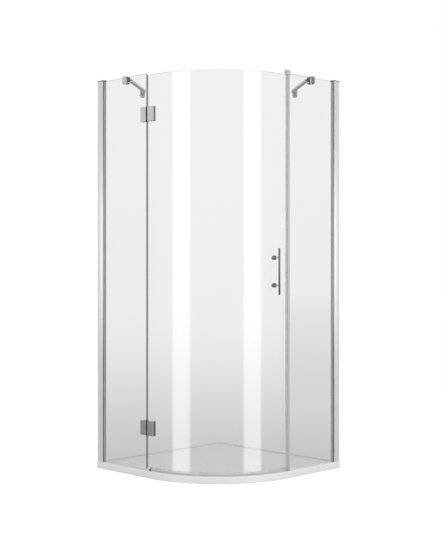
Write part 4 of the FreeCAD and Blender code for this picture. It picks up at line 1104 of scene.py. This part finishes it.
@dataclass
class FixedSide:
    """One fixed panel with its channels, seal and support arm."""

    frame: Frame
    side: Side

    def build(self) -> None:
        """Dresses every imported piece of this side."""
        finishes = {
            "wall_channel": SATIN,
            "glass_channel": GREY_METAL_AND_PAINTED_SHADE,
            "channel_cap": GREY_CAP,
            "glazing_gasket": GLAZING_RUBBER,
            "arm_clamp_pad": GREY_RUBBER,
            "panel_foot_seal": CLEAR_SEAL,
            "fixed_panel": PANEL_GLASS,
            "arm_clamp": CHROME,
            "arm_tube": CHROME,
            "arm_ends": CHROME,
            "arm_bracket": BRACKET_CHROME,
        }
        named = {f"{piece}_{self.side.value}": finish for piece, finish in finishes.items()}
        dress_nodes(self.frame, named)


@dataclass
class ClosingStrip:
    """The profile on the right panel that the door closes on."""

    frame: Frame

    def build(self) -> None:
        """Dresses the profile, its cap, its foot and its magnet."""
        dress_nodes(self.frame, {
            "strike_profile": STRIKE_METAL,
            "strike_cap": LIGHT_CAP,
            "strike_foot": GREY_CAP,
            "strike_magnet": MAGNET,
        })


@dataclass(frozen=True)
class Screw:
    """One kind of screw, which replaces the plain screws of a node."""

    node: str  # Node with the plain screws.
    body: str  # Body that carries them.
    finish: Finish
    shank: float  # Radius of the shank.
    head: float  # Radius of the head.
    rise: float  # Height of the head.
    drive: Section  # Shape of the recess.
    key: float  # Radius of the recess.
    outward: bool = False  # True where the head faces out of the shower.
    proud: float = 0.0  # How much further out the head stands than the plain screw.
    tip: float = 0.8 * MM  # Largest bevel of the tip.
    mouth: float = 1.06  # Radius of the recess at the top, as a share of the key.
    lip: float = 0.15 * MM  # Depth over which it narrows to the key.
    sink: float = 0.8  # Depth of the recess, as a share of the head's height.
    steps: int = 48  # Points round the screw.

    def profile(self, length: float) -> Profile:
        """Gives the profile from the tip to the bottom of the recess.

        Args:
            length: Whole length of the screw.

        Returns:
            Radius, distance and section of each ring.
        """
        tip = min(self.shank / 3, self.tip)
        edge = self.rise / 2
        rings = plain((self.shank - tip, 0), (self.shank, tip), (self.shank, length - self.rise))
        if self.head > self.shank:
            rings += plain((self.head, length - self.rise))
        rings += plain(*dome(self.head, min(edge, self.head / 4), length - edge, edge, EDGE_STEPS))
        recess = (
            (self.key * self.mouth, length),
            (self.key, length - self.lip),
            (self.key, length - self.sink * self.rise),
        )
        return rings + [(radius, distance, self.drive) for radius, distance in recess]

    def build(self, frame: Frame) -> None:
        """Builds the screws in the places of the plain ones.

        Args:
            frame: The loaded frame.
        """
        lofts = []
        for low, high in solid_boxes(frame, self.node):
            middle = (low + high) / 2
            way = (Side.LEFT if middle.y < 0 else Side.RIGHT).inward * (-1 if self.outward else 1)
            length = abs((high - low).dot(way))
            start = middle - way * length / 2
            lofts.append(turned(self.profile(length + self.proud), start, way, self.steps))
        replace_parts(make_piece(f"{self.node}.cut", lofts, self.body, self.finish), self.node)


# Finish, shank, head, rise, drive and key of each kind of screw.
# The set screw also faces outwards and stands proud.
HINGE_BOLT = (STEEL, 2.5 * MM, 5 * MM, 2.8 * MM, Section.HEX, 2.3 * MM)
CROSS_SCREW = (STEEL, 2 * MM, 4 * MM, 2.2 * MM, Section.CROSS, 2 * MM)
SET_SCREW = (DARK_STEEL, 2 * MM, 2.7 * MM, 0.8 * MM, Section.HEX, 1.2 * MM, True, 1.2 * MM)


@dataclass
class Fasteners:
    """Screws and pins with their heads and drives."""

    frame: Frame

    def build(self) -> None:
        """Builds the screws that show and dresses the hidden ones."""
        for screw in (
            Screw("glass_set_screws", "frame", *SET_SCREW),
            Screw("channel_fixing_screws", "frame", *CROSS_SCREW),
            Screw("hinge_fixed_bolts", "frame", *HINGE_BOLT),
            Screw("hinge_door_bolts", "door", *HINGE_BOLT),
        ):
            screw.build(self.frame)
        dress_nodes(self.frame, {"arm_clamp_screws": STEEL, "arm_pivot_pins": CHROME})


@dataclass(frozen=True)
class Lamp:
    """A soft box light."""

    name: str
    turn: float  # Turn of its place from the front of the left panel, in degrees.
    reach: float  # Distance from the object's axis.
    height: float  # Height of its middle.
    size: Span  # Width and height.
    power: float  # Power in watts.

    def build(self, aim: Vector) -> None:
        """Hangs the lamp and points it at the object.

        Args:
            aim: Point that it faces.
        """
        light = bpy.data.lights.new(self.name, "AREA")
        light.shape = "RECTANGLE"
        light.size, light.size_y = self.size
        light.energy = self.power
        lamp = bpy.data.objects.new(self.name, light)
        turn = math.radians(self.turn)
        lamp.location = (self.reach * math.sin(turn), -self.reach * math.cos(turn), self.height)
        lamp.rotation_euler = (aim - lamp.location).to_track_quat("-Z", "Y").to_euler()
        lamp.visible_camera = False
        lamp.visible_glossy = False
        lamp.visible_transmission = False
        bpy.context.scene.collection.objects.link(lamp)


@dataclass(frozen=True)
class Strip:
    """A tall strip of the studio that shows in shiny surfaces, by its turns in degrees."""

    start: float  # Where it begins.
    full: float  # Where it has its full weight.
    fade: float  # Where it begins to fade.
    end: float  # Where it is gone.

    def glow(self, graph: Graph, turn: Wire) -> Wire:
        """Gives the strip's weight from 0 to 1 over the turn."""
        rise = graph.ramp(turn, (math.radians(self.start), math.radians(self.full)), 0.0, 1.0)
        return rise * graph.ramp(turn, (math.radians(self.fade), math.radians(self.end)), 1.0, 0.0)


def light_paths(graph: Graph) -> tuple[Wire, Wire, Wire]:
    """Tells apart what is seen directly, through clear pieces and in shiny pieces.

    Args:
        graph: Graph that takes the nodes.

    Returns:
        Masks of camera rays, of rays through clear pieces and of mirrored rays.
    """
    camera = graph.node("LightPath", out="Is Camera Ray")
    mirrored = graph.maths("MINIMUM", camera.also("Glossy Depth"), 1.0)
    through = camera.also("Is Transmission Ray") * (1 - mirrored)
    return camera, through, camera.also("Is Glossy Ray") * mirrored


@dataclass
class Floor:
    """A wide pale floor that is white to the camera and keeps a soft shadow, with painted shade where it
    is seen through the glass.
    """

    reach: float = 45.0  # Radius of the floor.
    points: int = 64  # Points round its edge.
    drop: float = 0.3 * MM  # How far it lies under the tray.
    tone: float = 0.8  # Grey of its lit surface.
    shine: float = 1.2  # Brightness that it adds for the camera to be white.
    shine_share: float = 0.72  # Share of that brightness, beside the lit surface.
    near_painted_shade: float = 0.375  # How far painted shade darkens it near the object, as seen through the glass.
    near_painted_shade_reach: float = 4.0  # Distance over which that painted shade fades out.
    painted_floor_shadow: float = 0.1  # How much darker the painted shadow behind the right panel makes it.
    painted_floor_shadow_slant: float = 0.063  # How far the edge of that painted shadow moves aside for each metre back.
    painted_floor_shadow_side: Span = (0.30, 0.41)  # Distances aside between which the painted shadow starts.
    painted_floor_shadow_start: Span = (1.0, 6.0)  # Distances back between which it starts.
    painted_floor_shadow_end: Span = (8.0, 44.0)  # Distances from the object between which it ends.

    def build(self) -> None:
        """Lays the floor."""
        turns = [FULL_TURN * step / self.points for step in range(self.points)]
        rim = [(self.reach * math.cos(a), self.reach * math.sin(a), -self.drop) for a in turns]
        mesh = bpy.data.meshes.new("studio_floor")
        mesh.from_pydata(rim, [], [list(range(self.points))])
        floor = bpy.data.objects.new("studio_floor", mesh)
        bpy.context.scene.collection.objects.link(floor)
        material = bpy.data.materials.new("studio_floor")
        material.use_nodes = True
        mesh.materials.append(material)
        self.dress(Graph(material.node_tree))

    def shade(self, graph: Graph, through: Wire) -> Wire:
        """Gives the brightness of the floor as it is seen through the glass, with painted shade near the
        object and a painted shadow behind the right panel.

        Args:
            graph: Graph that takes the nodes.
            through: Mask of rays through clear pieces.

        Returns:
            Brightness from 0 to 1.
        """
        spot = graph.spot()
        far = graph.node("VectorMath", {"operation": "LENGTH"}, {0: spot}, "Value")
        # Painted shade: the floor seen through the glass is darker near the object.
        near_painted_shade = self.near_painted_shade * math.e ** (far * (-1 / self.near_painted_shade_reach)) * through
        # Painted shadow: a darker band of floor behind the right panel, seen only through the glass.
        behind = graph.dot(spot, (-DIAGONAL, DIAGONAL, 0))
        aside = graph.dot(spot, (DIAGONAL, DIAGONAL, 0)) - self.painted_floor_shadow_slant * behind
        painted_floor_shadow = graph.ramp(behind, self.painted_floor_shadow_start, 0.0, self.painted_floor_shadow)
        painted_floor_shadow = painted_floor_shadow * graph.ramp(far, self.painted_floor_shadow_end, 1.0, 0.0)
        return (1 - near_painted_shade) * (1 - painted_floor_shadow * graph.ramp(aside, self.painted_floor_shadow_side, 0.0, 1.0))

    def dress(self, graph: Graph) -> None:
        """Sets what the camera, the clear pieces and the shiny pieces see of the floor.

        Args:
            graph: Graph of the floor's material.
        """
        graph.tree.nodes.clear()
        camera, through, mirror = light_paths(graph)
        dark = graph.node("Emission", {}, {"Strength": 0.0})
        bright = graph.node("Emission", {}, {"Strength": 1.0})
        glow = graph.mixed(self.shade(graph, through), dark, bright)
        lit = graph.node("BsdfDiffuse", {}, {"Color": dimmed(WHITE, self.tone)})
        shine = graph.node("Emission", {}, {"Strength": self.shine})
        seen = graph.mixed(through, graph.mixed(self.shine_share * camera, lit, shine), glow)
        graph.close("Material", graph.mixed(mirror, seen, graph.node("BsdfTransparent")))


@dataclass
class Surround:
    """White all round for the camera, and a studio for shiny surfaces.

    Levels are heights on a sphere of radius 1 round the object.
    """

    ambient: float = 0.68  # Even light from all round.
    above: float = 0.66  # Brightness above the horizon in shiny surfaces.
    below: float = 0.30  # Brightness below the horizon in shiny surfaces.
    horizon: Span = (-0.16, 0.12)  # Levels between which the one turns into the other.
    deep: float = 0.2  # Brightness far down in metal, as a share of that below the horizon.
    pale: float = 0.5  # Brightness that the glass adds far down, from the pale floor.
    down: Span = (-0.6, -0.22)  # Levels between which both of these end.
    zenith: float = 0.35  # Brightness high up in metal, as a share of that above the horizon.
    up: Span = (0.3, 0.75)  # Levels between which it starts.
    # Dark strips in metal.
    flags: tuple[Strip, ...] = (Strip(-46, -42, -36, -32), Strip(122, 126, 133, 150))
    flag_depth: float = 0.93  # How far the flags dim the surround.
    # Low windows that show in metal at the height of the lens.
    windows: tuple[Strip, ...] = (Strip(-58, -44, -30, -22), Strip(108, 114, 134, 148))
    window_gain: float = 3.4  # Brightness of the windows.
    window_low: Span = (-0.09, -0.01)  # Levels between which they start.
    window_high: Span = (0.05, 0.125)  # Levels between which they end.
    # Bright strips in glass and metal.
    strips: tuple[Strip, ...] = (Strip(-19, -11.5, 5.5, 11.5), Strip(74, 80.5, 98.5, 103))
    strip_gain: float = 3.5  # Brightness of the strips in the glass.
    strip_metal: float = 0.35  # Brightness of the strips in metal, as a share.
    strip_top: float = 0.556  # Brightness of the strips above the horizon, as a share.
    strip_turn: Span = (-0.22, -0.05)  # Levels between which it falls to that share.

    def studio(self, graph: Graph, sharp: Wire) -> Wire:
        """Gives the brightness that shiny surfaces see.

        Args:
            graph: Graph that takes the nodes.
            sharp: Mask of rays that smooth glass mirrors.

        Returns:
            Brightness by the direction of the ray.
        """
        x = graph.part(graph.node("TexCoord", out="Generated"), "X")
        turn = graph.maths("ARCTAN2", x, x.also("Y") * -1.0)
        level = x.also("Z")
        metal = 1 - sharp
        down = graph.ramp(level, self.down, 1.0, 0.0)
        sky = graph.ramp(level, self.horizon, self.below, self.above)
        sky = sky * (1 - metal * (1 - self.deep) * down) + sharp * self.pale * down
        sky = sky * (1 - metal * graph.ramp(level, self.up, 0.0, 1 - self.zenith))
        for flag in self.flags:
            sky = sky * (1 - self.flag_depth * metal * flag.glow(graph, turn))
        row = graph.ramp(level, self.window_low, 0.0, 1.0)
        row = row * graph.ramp(level, self.window_high, 1.0, 0.0)
        for window in self.windows:
            sky = sky + self.window_gain * metal * row * window.glow(graph, turn)
        gain = self.strip_gain * (self.strip_metal + (1 - self.strip_metal) * sharp)
        gain = gain * graph.ramp(level, self.strip_turn, 1.0, self.strip_top)
        for strip in self.strips:
            sky = sky + gain * strip.glow(graph, turn)
        return sky

    def build(self) -> None:
        """Sets the world."""
        world = bpy.data.worlds.new("studio")
        bpy.context.scene.world = world
        world.use_nodes = True
        graph = Graph(world.node_tree)
        graph.tree.nodes.clear()
        camera, through, mirror = light_paths(graph)
        sky = self.studio(graph, camera.also("Is Singular Ray"))
        white = camera + through
        strength = white + mirror * sky + self.ambient * (1 - white - mirror)
        back = graph.node("Background", {}, {"Color": dimmed(WHITE, 1.0), "Strength": strength})
        graph.close("World", back)


@dataclass
class Studio:
    """Floor, surround, lamps and the camera at the photograph's angle."""

    eye: tuple[float, float, float] = (4.0116, -3.9955, 1.0385)  # Place of the camera.
    yaw: float = 44.984  # Turn of the camera about Z from the Y axis, in degrees.
    pitch: float = 0.053  # Upward tilt in degrees.
    lens: float = 72.71  # Focal length in millimetres.
    film: float = 36.0  # Width of the film in millimetres.
    lamps: tuple[Lamp, ...] = (
        Lamp("right_box", 88, 3.4, 1.3, (1.0, 2.6), 27),
        Lamp("left_box", -4, 3.4, 1.3, (1.0, 2.6), 12),
        Lamp("top_box", 45, 0.6, 3.6, (2.2, 2.2), 14),
    )
    aim: tuple[float, float, float] = (0.0, 0.0, 1.0)  # Point that they face.

    def build(self) -> None:
        """Builds the floor, the light and the camera."""
        Floor().build()
        Surround().build()
        for lamp in self.lamps:
            lamp.build(Vector(self.aim))
        self.build_camera()

    def build_camera(self) -> None:
        """Sets the camera."""
        data = bpy.data.cameras.new("camera")
        data.lens = self.lens
        data.sensor_width = self.film
        camera = bpy.data.objects.new("camera", data)
        turn = Matrix.Rotation(math.radians(self.yaw), 4, "Z")
        tilt = Matrix.Rotation(math.radians(90 + self.pitch), 4, "X")
        camera.matrix_world = Matrix.Translation(self.eye) @ turn @ tilt
        bpy.context.scene.collection.objects.link(camera)
        bpy.context.scene.camera = camera


CLEAR_NODES = (
    "fixed_panel_left", "fixed_panel_right",
    "panel_foot_seal_left", "panel_foot_seal_right", "door_close_seal",
)
CLEAR_PIECES = ("door_glass", "sweep_clip")


def let_light_through(frame: Frame) -> None:
    """Lets lamps and bounced light pass the clear pieces, so that they light what is behind.

    Args:
        frame: The loaded frame.
    """
    pieces = [frame["nodes"][name] for name in CLEAR_NODES]
    for piece in pieces + [bpy.data.objects[name] for name in CLEAR_PIECES]:
        piece.visible_shadow = False
        piece.visible_diffuse = False


def main() -> None:
    """Builds the classes in order."""
    logging.basicConfig(level=logging.INFO, format="%(name)s: %(message)s")
    for spare in list(bpy.data.objects):
        bpy.data.objects.remove(spare)
    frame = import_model()
    low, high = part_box("shower_tray")
    plan = FrontPlan(high[0] - low[0])
    Tray(plan).build()
    Door(frame, plan).build()
    Hinges(frame).build()
    for side in Side:
        FixedSide(frame, side).build()
    ClosingStrip(frame).build()
    Fasteners(frame).build()
    let_light_through(frame)
    Studio().build()
    bpy.context.scene.view_settings.view_transform = "Standard"


if __name__ == "__main__":
    main()
